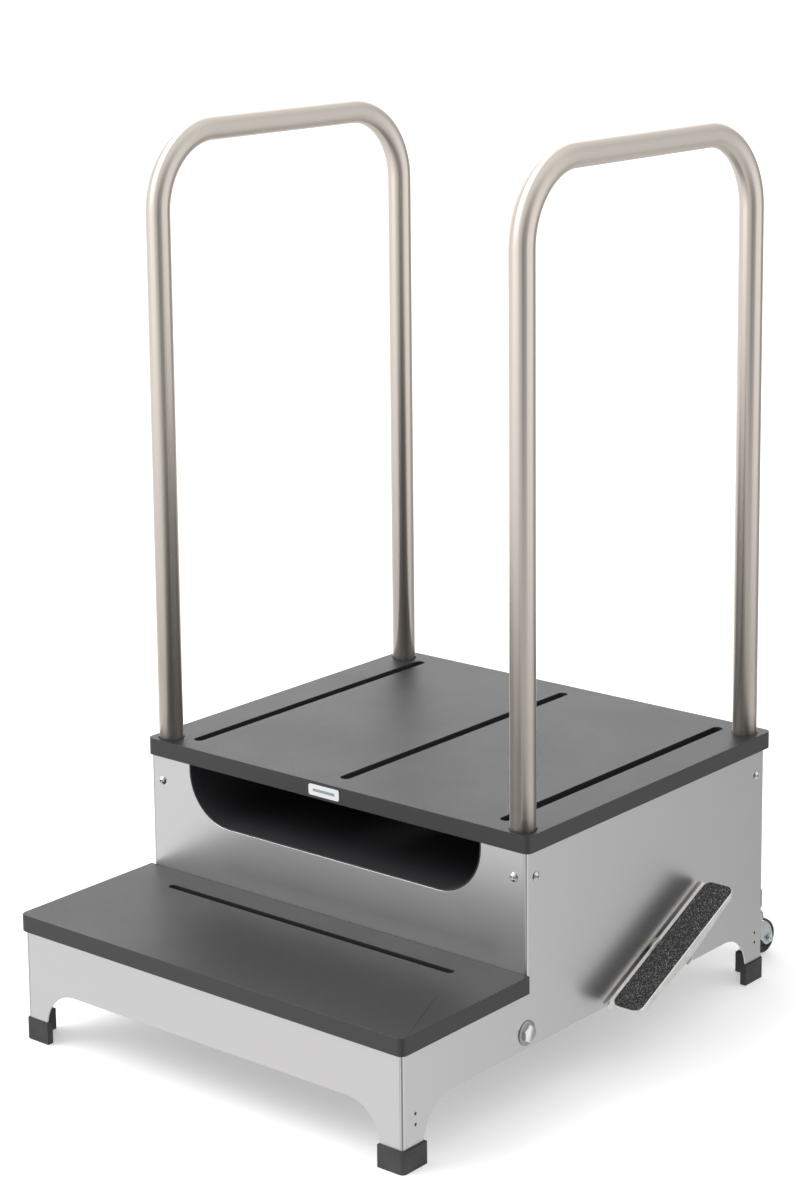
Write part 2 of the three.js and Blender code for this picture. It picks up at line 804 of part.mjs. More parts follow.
function carriageArm() {
  const half = armHeight / 2;
  const end = crossTubeY - crossTubeSize / 2 - gap;
  const outline = [
    ...arc(0, hingeHeight, half, 90, 270, archSteps),
    point(crankStart, hingeHeight - half),
    point(crankEnd, armRearBottom),
    point(end, armRearBottom),
    point(end, armRearTop),
    point(crankEnd, armRearTop),
    point(crankStart, hingeHeight + half),
  ];
  const holes = [circle(0, hingeHeight, hingeBarDiameter / 2 + fitGap, roundSides)];
  return prism(outline, "YZ", armOffset - armThickness / 2, armOffset + armThickness / 2, holes);
}
placePair("carriage_arm", carriageArm(), plainSteel);

function crossTube() {
  const half = crossTubeSize / 2;
  const inner = half - crossTubeWall;
  const reach = casterOffset + crossTubeEnd;
  const middle = crossTubeBottom + half;
  const tube = prism(
    rectangle(crossTubeY - half, crossTubeY + half, middle - half, middle + half),
    "YZ", -reach, reach,
    [rectangle(crossTubeY - inner, crossTubeY + inner, middle - inner, middle + inner)]);
  const stemHoles = [-casterOffset, casterOffset].map((x) =>
    rod(stemDiameter / 2 + fitGap, crossTubeBottom - gap, crossTubeBottom + 2 * crossTubeWall, "Z")
      .translate(x, crossTubeY, 0));
  return cut(tube, ...stemHoles);
}
place("carriage_cross_tube", crossTube(), plainSteel());

// ---- Casters ----

const forkTop = axleHeight + wheelDiameter / 2 + forkGap + forkSheet;
const forkHalfWidth = wheelWidth / 2 + forkGap + forkSheet;

// The fixed half of the swivel: a domed race under the cross tube with its stem above it.
function casterStem() {
  const radius = swivelDiameter / 2;
  const foot = forkTop + gap;
  const top = crossTubeBottom - gap;
  const stemTop = crossTubeBottom + crossTubeSize - crossTubeWall - stemTopGap;
  return turned([
    [0, foot],
    [radius, foot],
    [radius, foot + (top - foot) * 0.45],
    [radius * 0.72, top],
    [stemDiameter / 2, top],
    [stemDiameter / 2, stemTop],
    [0, stemTop],
  ], "Z", roundSides).translate(casterOffset, crossTubeY, 0);
}

// The turning half: a hooded fork over the wheel, which trails behind the swivel.
function casterFork() {
  const radius = wheelDiameter / 2 + forkGap + forkSheet;
  const crown = swivelDiameter / 2;
  const outline = [
    ...arc(-crown + forkCrownRadius, forkTop - forkCrownRadius, forkCrownRadius, 180, 90,
      cornerSteps),
    ...arc(casterTrail - hoodSetback, axleHeight, radius, 90, 20, archSteps),
    ...arc(casterTrail + forkBossOffset, axleHeight, forkBossRadius, 20, -90, cornerSteps),
    ...arc(casterTrail - forkBossOffset, axleHeight, forkBossRadius, -90, -150, cornerSteps),
  ];
  const hood = prism(outline, "YZ", -forkHalfWidth, forkHalfWidth);
  const inside = forkHalfWidth - forkSheet;
  const wheelSpace = rod(wheelDiameter / 2 + forkGap, -inside, inside, "X", roundSides)
    .translate(0, casterTrail, axleHeight);
  const below = block(-inside, inside, -crown - gap, casterTrail + radius + gap,
    axleHeight - radius, axleHeight + wheelDiameter / 4);
  const axleHole = rod(casterAxleDiameter / 2 + fitGap, -radius, radius, "X")
    .translate(0, casterTrail, axleHeight);
  return cut(hood, wheelSpace, below, axleHole).translate(casterOffset, crossTubeY, 0);
}

function casterAxle() {
  const reach = forkHalfWidth + gap;
  const nutRadius = casterNutWidth / Math.sqrt(3);
  const nutEnd = reach + casterNutThickness;
  return join(
    rod(casterAxleDiameter / 2, -reach - casterAxleHeadHeight / 2, nutEnd + casterAxleEnd, "X"),
    rod(nutRadius, reach, nutEnd, "X", 6),
    rod(casterAxleHeadDiameter / 2, -reach - casterAxleHeadHeight, -reach, "X"),
  ).translate(casterOffset, crossTubeY + casterTrail, axleHeight);
}

function casterTyre() {
  const half = wheelWidth / 2;
  const radius = wheelDiameter / 2;
  const inner = radius - tyreThickness;
  const profile = [
    [inner, -half + tyreSetback],
    [radius - treadShoulder, -half],
    [radius, -half * 0.45],
    [radius, half * 0.45],
    [radius - treadShoulder, half],
    [inner, half - tyreSetback],
    [inner, -half + tyreSetback],
  ];
  return turned(profile, "X", roundSides)
    .translate(casterOffset, crossTubeY + casterTrail, axleHeight);
}

function casterHub() {
  const half = wheelWidth / 2 - tyreSetback;
  const rim = half - tyreSetback;
  const radius = wheelDiameter / 2 - tyreThickness - gap;
  const bore = casterAxleDiameter / 2 + fitGap;
  const profile = [
    [bore, -half],
    [bore * 2, -half],
    [radius * 0.8, -rim + hubDish],
    [radius, -rim],
    [radius, rim],
    [radius * 0.8, rim - hubDish],
    [bore * 2, half],
    [bore, half],
    [bore, -half],
  ];
  return turned(profile, "X", roundSides)
    .translate(casterOffset, crossTubeY + casterTrail, axleHeight);
}
placePair("caster_stem", casterStem(), zinc);
placePair("caster_fork", casterFork(), zinc);
placePair("caster_axle", casterAxle(), zinc);
placePair("caster_tyre", casterTyre(), rubberBlack);
placePair("caster_hub", casterHub(), plugPlastic);

// ---- Pedal shaft and cams ----

const shaftFrame = new THREE.Group();
shaftFrame.position.set(0, shaftSetback, shaftHeight);
stool.add(shaftFrame);

const leverInside = sideFace + leverGapToPanel;
const plateInside = leverInside + leverThickness + pedalGapToLever;
const plateOutside = plateInside + pedalWidth;

function shaftBush() {
  const bore = shaftDiameter / 2 + fitGap;
  const inside = sideFace - sheet - bushInside;
  const profile = [
    [bore, inside],
    [bushDiameter / 2, inside],
    [bushDiameter / 2, sideFace + gap],
    [bushFlangeDiameter / 2, sideFace + gap],
    [bushFlangeDiameter / 2, sideFace + gap + bushFlangeThickness],
    [bore, sideFace + gap + bushFlangeThickness],
    [bore, inside],
  ];
  return turned(profile, "X", roundSides);
}
placePair("shaft_bush", shaftBush(), bronze, shaftFrame);

const shaftLeftEnd = -(sideFace + gap + bushFlangeThickness + shaftEnd);
const shaftRightEnd = plateOutside - pedalSheet - gap;
place("pedal_shaft", rod(shaftDiameter / 2, shaftLeftEnd, shaftRightEnd, "X", tubeSides),
  plainSteel(), shaftFrame);

function cam() {
  const from = armOffset - camThickness / 2;
  const to = armOffset + camThickness / 2;
  return prism(circle(camCentreY, camCentreZ, camRadius, 2 * roundSides), "YZ", from, to,
    [circle(0, 0, shaftDiameter / 2 + fitGap, roundSides)]);
}
placePair("pedal_cam", cam(), plainSteel, shaftFrame);

// ---- Pedal ----

const pedalFrame = new THREE.Group();
pedalFrame.rotation.x = halfSwing;
shaftFrame.add(pedalFrame);

const pedalReach = pedalLength / 2;
const plateTop = pedalTopAboveShaft;
const plateUnderside = plateTop - pedalSheet;

// A folded edge seen from the side: shallow at both ends and deepest at the middle.
function edgeOutline(top, length, endDepth, middleDepth) {
  return [
    point(-length, top),
    point(-length, top - endDepth),
    point(-hubDiameter / 2, top - middleDepth),
    point(hubDiameter / 2, top - middleDepth),
    point(length, top - endDepth),
    point(length, top),
  ];
}

function pedalPlate() {
  const top = prism(
    roundedRectangle(plateInside, plateOutside, -pedalReach, pedalReach, pedalCornerRadius),
    "XY", plateUnderside, plateTop);
  const straight = pedalReach - pedalCornerRadius;
  const edge = edgeOutline(plateTop - pedalSheet / 2, straight, pedalEdgeDepth,
    pedalEdgeMiddleDepth);
  return join(top, prism(edge, "YZ", plateOutside - pedalSheet, plateOutside));
}
place("pedal_plate", pedalPlate(), pedalMetal(), pedalFrame);

// The upright lever beside the panel, with the hub that turns the shaft.
function pedalLever() {
  const hubRadius = hubDiameter / 2;
  const hubEnd = plateOutside - pedalSheet - 2 * gap;
  const outline = [
    ...arc(pedalReach - leverCornerRadius, plateTop - leverCornerRadius, leverCornerRadius,
      0, 90, cornerSteps),
    ...arc(-pedalReach + leverCornerRadius, plateTop - leverCornerRadius, leverCornerRadius,
      90, 180, cornerSteps),
    point(-pedalReach, plateTop - leverEndDepth),
    ...arc(0, 0, hubRadius + leverHubWall, 220, 320, pedalArcSteps),
    point(pedalReach, plateTop - leverEndDepth),
  ];
  const body = join(
    prism(outline, "YZ", leverInside, leverInside + leverThickness),
    rod(hubRadius, leverInside, hubEnd, "X", roundSides),
  );
  const bore = rod(shaftDiameter / 2 + fitGap, leverInside - gap, hubEnd + gap, "X", roundSides);
  return cut(body, bore);
}
place("pedal_lever", pedalLever(), pedalMetal(), pedalFrame);

place("pedal_grip",
  prism(roundedRectangle(plateInside + gripBorder, plateOutside - gripBorder,
    -pedalReach + gripBorder, pedalReach - gripBorder, pedalCornerRadius - gripBorder),
  "XY", plateTop + gap / 2, plateTop + gap / 2 + gripThickness),
  gritBlack(), pedalFrame);

// ---- Return springs ----

function springStud() {
  const radius = springStudDiameter / 2;
  const outer = sideFace - sheet - gap;
  const head = armOffset - springDiameter / 2;
  const profile = [
    [0, head - springStudRim],
    [radius + springStudRim, head - springStudRim],
    [radius + springStudRim, head],
    [radius, head],
    [radius, outer - springStudRim],
    [radius + springStudFoot, outer - springStudRim],
    [radius + springStudFoot, outer],
    [0, outer],
  ];
  return turned(profile, "X").translate(0, springSetback, springStudHeight);
}
placePair("spring_stud", springStud(), plainSteel);

function returnSpring() {
  const foot = armRearTop + gap;
  const top = springStudHeight - springStudDiameter / 2 - gap;
  return rod(springDiameter / 2, foot, top, "Z").translate(armOffset, springSetback, 0);
}
placePair("return_spring", returnSpring(), zinc);

// ---- Origin at the bottom centre of the bounding box ----

const bounds = new THREE.Box3().setFromObject(stool, true);
const middle = bounds.getCenter(new THREE.Vector3());
stool.position.set(-middle.x, -middle.y, -bounds.min.z);

export default stool;
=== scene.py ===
import json
import math

import bmesh
import bpy
from mathutils import Matrix, Vector, noise


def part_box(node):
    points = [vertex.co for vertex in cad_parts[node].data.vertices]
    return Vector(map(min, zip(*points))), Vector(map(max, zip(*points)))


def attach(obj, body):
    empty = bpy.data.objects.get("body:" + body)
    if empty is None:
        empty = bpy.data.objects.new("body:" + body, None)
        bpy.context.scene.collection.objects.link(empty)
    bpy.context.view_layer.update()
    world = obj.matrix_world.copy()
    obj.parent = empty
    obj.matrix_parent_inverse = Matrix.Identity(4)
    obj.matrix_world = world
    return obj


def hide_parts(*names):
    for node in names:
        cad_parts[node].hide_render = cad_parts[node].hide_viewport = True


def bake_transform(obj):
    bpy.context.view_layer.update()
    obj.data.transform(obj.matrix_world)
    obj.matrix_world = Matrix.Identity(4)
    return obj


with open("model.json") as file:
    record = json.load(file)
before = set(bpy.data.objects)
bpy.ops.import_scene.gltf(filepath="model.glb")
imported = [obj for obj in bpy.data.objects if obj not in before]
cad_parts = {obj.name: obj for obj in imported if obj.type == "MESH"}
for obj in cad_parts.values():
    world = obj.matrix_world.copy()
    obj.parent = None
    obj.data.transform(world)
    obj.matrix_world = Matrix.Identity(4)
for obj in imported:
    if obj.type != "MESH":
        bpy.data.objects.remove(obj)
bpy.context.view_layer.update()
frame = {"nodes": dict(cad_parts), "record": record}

# A two-step stool of satin stainless sheet with brushed handrails, black plastic treads,
# a pocket and slots for flat cassettes, and a pedal that lowers two rear casters.
# Metres. X runs across the stool, the climbing side is -Y, Z is up.

MM = 0.001
CAD_WELD = 0.00001  # vertices of a CAD copy closer than this become one
WELD = 0.000001

# ---- Camera ----

CAMERA_PLACE = (2.2237, -2.7225, 1.4748)
CAMERA_TURN = (79.0617, 0.5604, 39.7650)  # degrees about X, Y and Z
LENS = 85.744
LENS_SHIFT = -0.165


def add_camera():
    data = bpy.data.cameras.new("camera")
    data.lens = LENS
    data.shift_y = LENS_SHIFT
    data.clip_end = 50
    camera = bpy.data.objects.new("camera", data)
    camera.location = CAMERA_PLACE
    camera.rotation_euler = [math.radians(turn) for turn in CAMERA_TURN]
    bpy.context.scene.collection.objects.link(camera)
    bpy.context.scene.camera = camera


add_camera()

# ---- Materials ----


MIX_A, MIX_B, MIX_RESULT = 6, 7, 2  # the colour sockets of a Mix node


class Finish:
    """A material whose node tree is built up one node at a time."""

    def __init__(self, name, colour, roughness, metallic=0.0, specular=0.5):
        self.material = bpy.data.materials.new(name)
        self.material.use_nodes = True
        self.tree = self.material.node_tree
        self.surface = self.tree.nodes["Principled BSDF"]
        self.surface.inputs["Base Color"].default_value = (*colour, 1)
        self.surface.inputs["Roughness"].default_value = roughness
        self.surface.inputs["Metallic"].default_value = metallic
        self.surface.inputs["Specular IOR Level"].default_value = specular

    def node(self, kind, inputs, **settings):
        made = self.tree.nodes.new(kind)
        for key, value in settings.items():
            setattr(made, key, value)
        for key, value in inputs.items():
            if isinstance(value, bpy.types.NodeSocket):
                self.tree.links.new(value, made.inputs[key])
            else:
                made.inputs[key].default_value = value
        return made

    def places(self, scale=(1, 1, 1)):
        coordinates = self.node("ShaderNodeTexCoord", {})
        stretched = self.node("ShaderNodeMapping", {
            "Vector": coordinates.outputs["Object"], "Scale": scale})
        return stretched.outputs["Vector"]

    def grain(self, places, scale, detail=3.0, rough=0.55):
        made = self.node("ShaderNodeTexNoise", {
            "Vector": places, "Scale": scale, "Detail": detail, "Roughness": rough})
        return made.outputs["Fac"]

    def pebbles(self, places, scale, output="Distance"):
        made = self.node("ShaderNodeTexVoronoi", {"Vector": places, "Scale": scale})
        return made.outputs[output]

    def between(self, value, low, high, from_low=0.0, from_high=1.0):
        made = self.node("ShaderNodeMapRange", {
            "Value": value, "From Min": from_low, "From Max": from_high,
            "To Min": low, "To Max": high})
        return made.outputs["Result"]

    def sum(self, one, other, operation="ADD"):
        made = self.node("ShaderNodeMath", {0: one, 1: other}, operation=operation)
        return made.outputs["Value"]

    def blend_colours(self, factor, low, high):
        made = self.node("ShaderNodeMix", {"Factor": factor}, data_type="RGBA")
        for socket, colour in zip([made.inputs[MIX_A], made.inputs[MIX_B]], [low, high]):
            if isinstance(colour, bpy.types.NodeSocket):
                self.tree.links.new(colour, socket)
            else:
                socket.default_value = (*colour, 1)
        return made.outputs[MIX_RESULT]

    def drive(self, socket, value):
        self.tree.links.new(value, self.surface.inputs[socket])

    def bump(self, height, distance, strength=1.0):
        made = self.node("ShaderNodeBump", {
            "Height": height, "Distance": distance, "Strength": strength})
        self.drive("Normal", made.outputs["Normal"])


def shade(colour, share):
    return tuple(channel * share for channel in colour)


def satin_sheet():
    """Stainless sheet with a fine satin grain that runs level round the stool."""
    steel = (0.652, 0.642, 0.642)
    finish = Finish("satin_sheet", steel, 0.3, metallic=1.0)
    grain = finish.grain(finish.places((6, 6, 1400)), 1.0, 4.0, 0.6)
    cloud = finish.grain(finish.places(), 5.0, 3.0)
    finish.drive("Base Color", finish.blend_colours(
        finish.between(grain, 0.25, 0.75, 0.3, 0.7), shade(steel, 0.985), shade(steel, 1.015)))
    rough = finish.sum(finish.between(grain, 0.27, 0.31), finish.between(cloud, -0.02, 0.03))
    finish.drive("Roughness", rough)
    finish.surface.inputs["Anisotropic"].default_value = 0.6
    upright = finish.node("ShaderNodeCombineXYZ", {"Z": 1.0})
    finish.drive("Tangent", upright.outputs["Vector"])
    finish.bump(grain, 0.00001, 0.15)
    return finish.material


def brushed_tube():
    """Polished tube with fine hairlines round it, counted along its length."""
    steel = (0.82, 0.752, 0.68)
    finish = Finish("brushed_tube", steel, 0.22, metallic=1.0)
    finish.surface.inputs["Anisotropic"].default_value = 1.0
    axis = finish.node("ShaderNodeAttribute", {}, attribute_name="axis")
    finish.drive("Tangent", axis.outputs["Vector"])
    length = finish.node("ShaderNodeAttribute", {}, attribute_name="along")
    place = finish.node("ShaderNodeCombineXYZ", {"X": length.outputs["Fac"]})
    hairlines = finish.grain(place.outputs["Vector"], 1900.0, 4.0, 0.7)
    bands = finish.grain(place.outputs["Vector"], 60.0, 3.0, 0.6)
    smears = finish.grain(finish.places((90, 90, 6)), 1.0, 2.0)
    finish.drive("Base Color", finish.blend_colours(
        finish.between(hairlines, 0.0, 1.0, 0.3, 0.7), shade(steel, 0.93), shade(steel, 1.04)))
    rough = finish.sum(finish.between(hairlines, 0.27, 0.34), finish.between(bands, -0.02, 0.03))
    finish.drive("Roughness", finish.sum(rough, finish.between(smears, -0.015, 0.02)))
    finish.bump(hairlines, 0.000006, 0.3)
    return finish.material


def pebbled_plastic():
    """Dark moulded plastic: a fine pebble on top, and plainer upright edges."""
    charcoal = (0.03, 0.0292, 0.031)
    finish = Finish("pebbled_plastic", charcoal, 0.4)
    places = finish.places()
    pebble = finish.pebbles(places, 820.0)
    fine = finish.grain(places, 1500.0, 3.0, 0.6)
    facing = finish.node("ShaderNodeNewGeometry", {})
    upward = finish.node("ShaderNodeSeparateXYZ", {"Vector": facing.outputs["Normal"]})
    on_top = finish.between(upward.outputs["Z"], 0.15, 1.0, 0.3, 0.8)
    height = finish.sum(finish.sum(finish.between(pebble, 0.0, 1.0, 0.0, 0.7), on_top, "MULTIPLY"),
                        finish.between(fine, 0.0, 0.35))
    finish.bump(height, 0.00016, 0.8)
    wear = finish.grain(places, 9.0, 4.0, 0.6)
    finish.drive("Base Color", finish.blend_colours(
        finish.between(fine, 0.0, 1.0, 0.3, 0.7), shade(charcoal, 0.75), shade(charcoal, 1.35)))
    finish.drive("Roughness", finish.sum(
        finish.between(wear, 0.36, 0.46), finish.between(pebble, 0.0, 0.05)))
    return finish.material


def liner_black():
    """Powder-coated sheet, satin black with a light orange peel."""
    black = (0.036, 0.036, 0.041)
    finish = Finish("liner_black", black, 0.5)
    places = finish.places()
    peel = finish.grain(places, 700.0, 3.0)
    finish.drive("Base Color", finish.blend_colours(
        finish.between(peel, 0.0, 1.0, 0.3, 0.7), shade(black, 0.7), shade(black, 1.5)))
    finish.drive("Roughness", finish.between(finish.grain(places, 12.0), 0.42, 0.6))
    finish.bump(peel, 0.0001, 0.6)
    return finish.material


def moulded_rubber(name, grey, scale):
    """Dull black rubber with a faint bloom and a fine mould texture."""
    finish = Finish(name, (grey, grey, grey * 1.03), 0.7, specular=0.4)
    places = finish.places()
    skin = finish.grain(places, scale, 4.0, 0.65)
    bloom = finish.grain(places, 30.0, 4.0, 0.6)
    finish.drive("Base Color", finish.blend_colours(
        finish.between(bloom, 0.0, 1.0, 0.3, 0.75),
        (grey * 0.75, grey * 0.75, grey * 0.77), (grey * 1.4, grey * 1.38, grey * 1.42)))
    finish.drive("Roughness", finish.between(skin, 0.6, 0.82))
    finish.bump(skin, 0.00015, 0.5)
    return finish.material


def bright_metal(name, colour, low, high, scale, metallic=1.0):
    """Plated or bare metal whose gloss wanders a little over the surface."""
    finish = Finish(name, colour, low, metallic=metallic)
    places = finish.places()
    cloud = finish.grain(places, scale, 4.0, 0.6)
    fine = finish.grain(places, scale * 14, 3.0, 0.6)
    finish.drive("Base Color", finish.blend_colours(
        finish.between(cloud, 0.0, 1.0, 0.3, 0.7), shade(colour, 0.9), shade(colour, 1.05)))
    finish.drive("Roughness", finish.between(finish.sum(cloud, fine), low, high, 0.6, 1.4))
    finish.bump(fine, 0.00002, 0.3)
    return finish.material


def dark_moulding():
    """Plain black moulded plastic with a soft gloss."""
    black = (0.03, 0.031, 0.033)
    finish = Finish("dark_moulding", black, 0.45)
    places = finish.places()
    skin = finish.grain(places, 900.0, 3.0)
    finish.drive("Base Color", finish.blend_colours(
        finish.grain(places, 60.0), shade(black, 0.8), shade(black, 1.25)))
    finish.drive("Roughness", finish.between(skin, 0.38, 0.55))
    finish.bump(skin, 0.00006, 0.5)
    return finish.material


def grit_tape():
    """Black mineral grit, here and there a grain that catches the light."""
    finish = Finish("grit_tape", (0.03, 0.03, 0.03), 0.75, specular=0.6)
    places = finish.places()
    grains = finish.node("ShaderNodeTexVoronoi", {"Vector": places, "Scale": 1300.0})
    lots = finish.node("ShaderNodeSeparateColor", {"Color": grains.outputs["Color"]})
    bright = finish.between(lots.outputs["Red"], 0.0, 1.0, 0.86, 0.97)
    finish.drive("Base Color", finish.blend_colours(
        bright, finish.blend_colours(lots.outputs["Green"], (0.022, 0.022, 0.023),
                                     (0.06, 0.06, 0.061)), (0.5, 0.5, 0.49)))
    finish.drive("Roughness", finish.between(bright, 0.8, 0.25))
    finish.bump(grains.outputs["Distance"], 0.0002, 0.7)
    return finish.material


def printed_label(middle):
    """A white plate with one plain grey bar across its middle."""
    finish = Finish("printed_label", (0.8, 0.81, 0.82), 0.35)
    coordinates = finish.node("ShaderNodeTexCoord", {})
    centred = finish.node("ShaderNodeVectorMath", {
        0: coordinates.outputs["Object"], 1: tuple(-value for value in middle)})
    apart = finish.node("ShaderNodeSeparateXYZ", {"Vector": centred.outputs["Vector"]})
    across = finish.node("ShaderNodeMath", {0: apart.outputs["X"]}, operation="ABSOLUTE")
    up = finish.node("ShaderNodeMath", {0: apart.outputs["Z"]}, operation="ABSOLUTE")
    in_width = finish.between(across.outputs["Value"], 1.0, 0.0, 17.5 * MM, 18 * MM)
    in_height = finish.between(up.outputs["Value"], 1.0, 0.0, 1.7 * MM, 2.0 * MM)
    fade = finish.grain(finish.places(), 400.0, 3.0)
    paper = finish.blend_colours(fade, (0.76, 0.77, 0.78), (0.84, 0.85, 0.86))
    finish.drive("Base Color", finish.blend_colours(
        finish.sum(in_width, in_height, "MULTIPLY"), paper, (0.3, 0.33, 0.36)))
    finish.drive("Roughness", finish.between(fade, 0.3, 0.42))
    return finish.material


label_low, label_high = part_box("label_plate")
FINISHES = {
    "panel_steel": satin_sheet(),
    "rail_steel": brushed_tube(),
    "tread_plastic": pebbled_plastic(),
    "liner_black": liner_black(),
    "foot_rubber": moulded_rubber("foot_rubber", 0.045, 900.0),
    "bright_steel": bright_metal("bright_steel", (0.8, 0.8, 0.8), 0.05, 0.12, 120.0),
    "zinc_plate": bright_metal("zinc_plate", (0.68, 0.71, 0.72), 0.2, 0.34, 90.0),
    "plain_steel": bright_metal("plain_steel", (0.4, 0.4, 0.4), 0.34, 0.5, 60.0),
    "pedal_metal": bright_metal("pedal_metal", (0.88, 0.875, 0.86), 0.2, 0.3, 70.0),
    "grit_tape": grit_tape(),
    "label_white": printed_label((label_low + label_high) / 2),
    "dark_plastic": dark_moulding(),
    "wheel_rubber": moulded_rubber("wheel_rubber", 0.03, 500.0),
    "bronze": bright_metal("bronze", (0.68, 0.62, 0.5), 0.28, 0.42, 80.0),
}

# ---- Making pieces ----

BODY_OF = {
    node: body
    for body, nodes in frame["record"]["behaviour"]["bodies"].items() for node in nodes
}
SLOT_OF = {part["node"]: part["material_slot"] for part in frame["record"]["subparts"]}
SIDES = ("right", "left")


def add_piece(name, shape, node, sharp=40, slot=None, stands_in=True):
    """Turns a bmesh into a finished piece, which rides and replaces its node if it stands in."""
    mesh = bpy.data.meshes.new(name)
    shape.to_mesh(mesh)
    shape.free()
    mesh.shade_smooth()
    mesh.set_sharp_from_angle(angle=math.radians(sharp))
    slot = slot or SLOT_OF[node]
    mesh.materials.append(FINISHES[slot])
    piece = bpy.data.objects.new(name, mesh)
    bpy.context.scene.collection.objects.link(piece)
    if stands_in:
        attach(piece, BODY_OF[node])
        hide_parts(node)
    return piece


def weigh_normals(piece):
    weighted = piece.modifiers.new("even shading", "WEIGHTED_NORMAL")
    weighted.keep_sharp = True
    weighted.weight = 60


def ease_edges(piece, width, segments=2, angle=30):
    bevel = piece.modifiers.new("eased edges", "BEVEL")
    bevel.width = width
    bevel.segments = segments
    bevel.limit_method = "ANGLE"
    bevel.angle_limit = math.radians(angle)
    bevel.use_clamp_overlap = True
    bevel.miter_outer = "MITER_ARC"
    weigh_normals(piece)


def eased_copy(node, width, segments=2, angle=30, sharp=40):
    """The CAD node's own shape with its flat faces whole and its edges eased."""
    shape = bmesh.new()
    shape.from_mesh(frame["nodes"][node].data)
    bmesh.ops.remove_doubles(shape, verts=shape.verts, dist=CAD_WELD)
    bmesh.ops.dissolve_limit(
        shape, angle_limit=math.radians(0.4), verts=shape.verts, edges=shape.edges)
    piece = add_piece(f"{node}_finished", shape, node, sharp)
    ease_edges(piece, width, segments, angle)
    return piece


def turned(profile, steps=48):
    """A turned shape about Z from (radius, height) pairs, closed where they reach the axis."""
    shape = bmesh.new()
    points = [shape.verts.new((radius, 0, height)) for radius, height in profile]
    lines = [shape.edges.new(pair) for pair in zip(points, points[1:])]
    bmesh.ops.spin(shape, geom=points + lines, cent=(0, 0, 0), axis=(0, 0, 1),
                   angle=2 * math.pi, steps=steps, use_merge=True)
    bmesh.ops.remove_doubles(shape, verts=shape.verts, dist=WELD)
    bmesh.ops.recalc_face_normals(shape, faces=shape.faces)
    return shape


def dome(radius, height, foot, steps=8):
    """Profile points of a shallow dome from its rim to the axis."""
    ball = (radius * radius + height * height) / (2 * height)
    reach = math.asin(radius / ball)
    return [
        (ball * math.sin(reach * (1 - step / steps)),
         foot + height - ball + ball * math.cos(reach * (1 - step / steps)))
        for step in range(steps + 1)
    ]


def verts_in(items):
    return [item for item in items if isinstance(item, bmesh.types.BMVert)]


def edges_in(items):
    return [item for item in items if isinstance(item, bmesh.types.BMEdge)]


def open_edges(shape):
    """The edges round a shape's openings."""
    return [edge for edge in shape.edges if edge.is_boundary]


def ring_edges(ring):
    """The edges of a circle just made."""
    return list({edge for vert in ring["verts"] for edge in vert.link_edges})


def thicken(shape, offset):
    """Grows a flat sheet's faces by an offset into a closed slab."""
    grown = bmesh.ops.extrude_face_region(shape, geom=shape.faces[:])["geom"]
    bmesh.ops.translate(shape, vec=offset, verts=verts_in(grown))
    bmesh.ops.recalc_face_normals(shape, faces=shape.faces)


def add_shape(shape, other, matrix=None):
    """Adds another bmesh's faces to a shape, moved by a matrix."""
    if matrix is not None:
        bmesh.ops.transform(other, matrix=matrix, verts=other.verts)
    mesh = bpy.data.meshes.new("spare")
    other.to_mesh(mesh)
    other.free()
    shape.from_mesh(mesh)
    bpy.data.meshes.remove(mesh)


def facing(direction, place):
    """The matrix that turns a shape's +Z to a direction and moves it to a place."""
    turn = Vector((0, 0, 1)).rotation_difference(Vector(direction)).to_matrix().to_4x4()
    return Matrix.Translation(place) @ turn


def middle_of(node):
    low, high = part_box(node)
    return (low + high) / 2


# ---- Sheet body, treads and liners ----

for side in SIDES:
    eased_copy(f"side_panel_{side}", 0.35 * MM)
    eased_copy(f"cassette_trough_{side}", 0.3 * MM)
    eased_copy(f"tread_angle_{side}", 0.6 * MM)
    eased_copy(f"front_foot_cap_{side}", 0.7 * MM)
    eased_copy(f"rear_foot_cap_{side}", 0.7 * MM)
for panel in ("front_panel", "riser_panel", "rear_panel"):
    eased_copy(panel, 0.35 * MM)
for tread in ("upper_tread", "lower_tread"):
    eased_copy(tread, 1.3 * MM, segments=4)
eased_copy("cassette_tray", 0.3 * MM)
eased_copy("lower_cassette_trough", 0.3 * MM)
eased_copy("label_plate", 0.25 * MM)


RIVET_RADIUS = 1.9 * MM
RIVET_FLANGE = 0.15 * MM
RIVET_HEAD = 0.7 * MM
RIVET_HEIGHTS = (53.2 * MM, 66.5 * MM)
RIVETS_FROM_FRONT = 23 * MM
RIVETS_FROM_REAR = 17 * MM


def leg_rivets():
    """Pairs of small rivets that hold the foot caps to the side panels."""
    shape = bmesh.new()
    for side, way in (("right", 1), ("left", -1)):
        low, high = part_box(f"side_panel_{side}")
        face = high.x if way > 0 else low.x
        for along in (low.y + RIVETS_FROM_FRONT, high.y - RIVETS_FROM_REAR):
            for height in RIVET_HEIGHTS:
                head = turned([(RIVET_RADIUS * 1.25, -0.2 * MM), (RIVET_RADIUS, RIVET_FLANGE)]
                              + dome(RIVET_RADIUS * 0.9, RIVET_HEAD, RIVET_FLANGE), 20)
                add_shape(shape, head, facing((way, 0, 0), (face, along, height)))
    return shape


rivets = add_piece("leg_rivets", leg_rivets(), None, slot="dark_plastic", stands_in=False)
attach(rivets, "stool")

# ---- Handrails ----

RAIL_BEND = 100 * MM
RAIL_WALL = 1.65 * MM


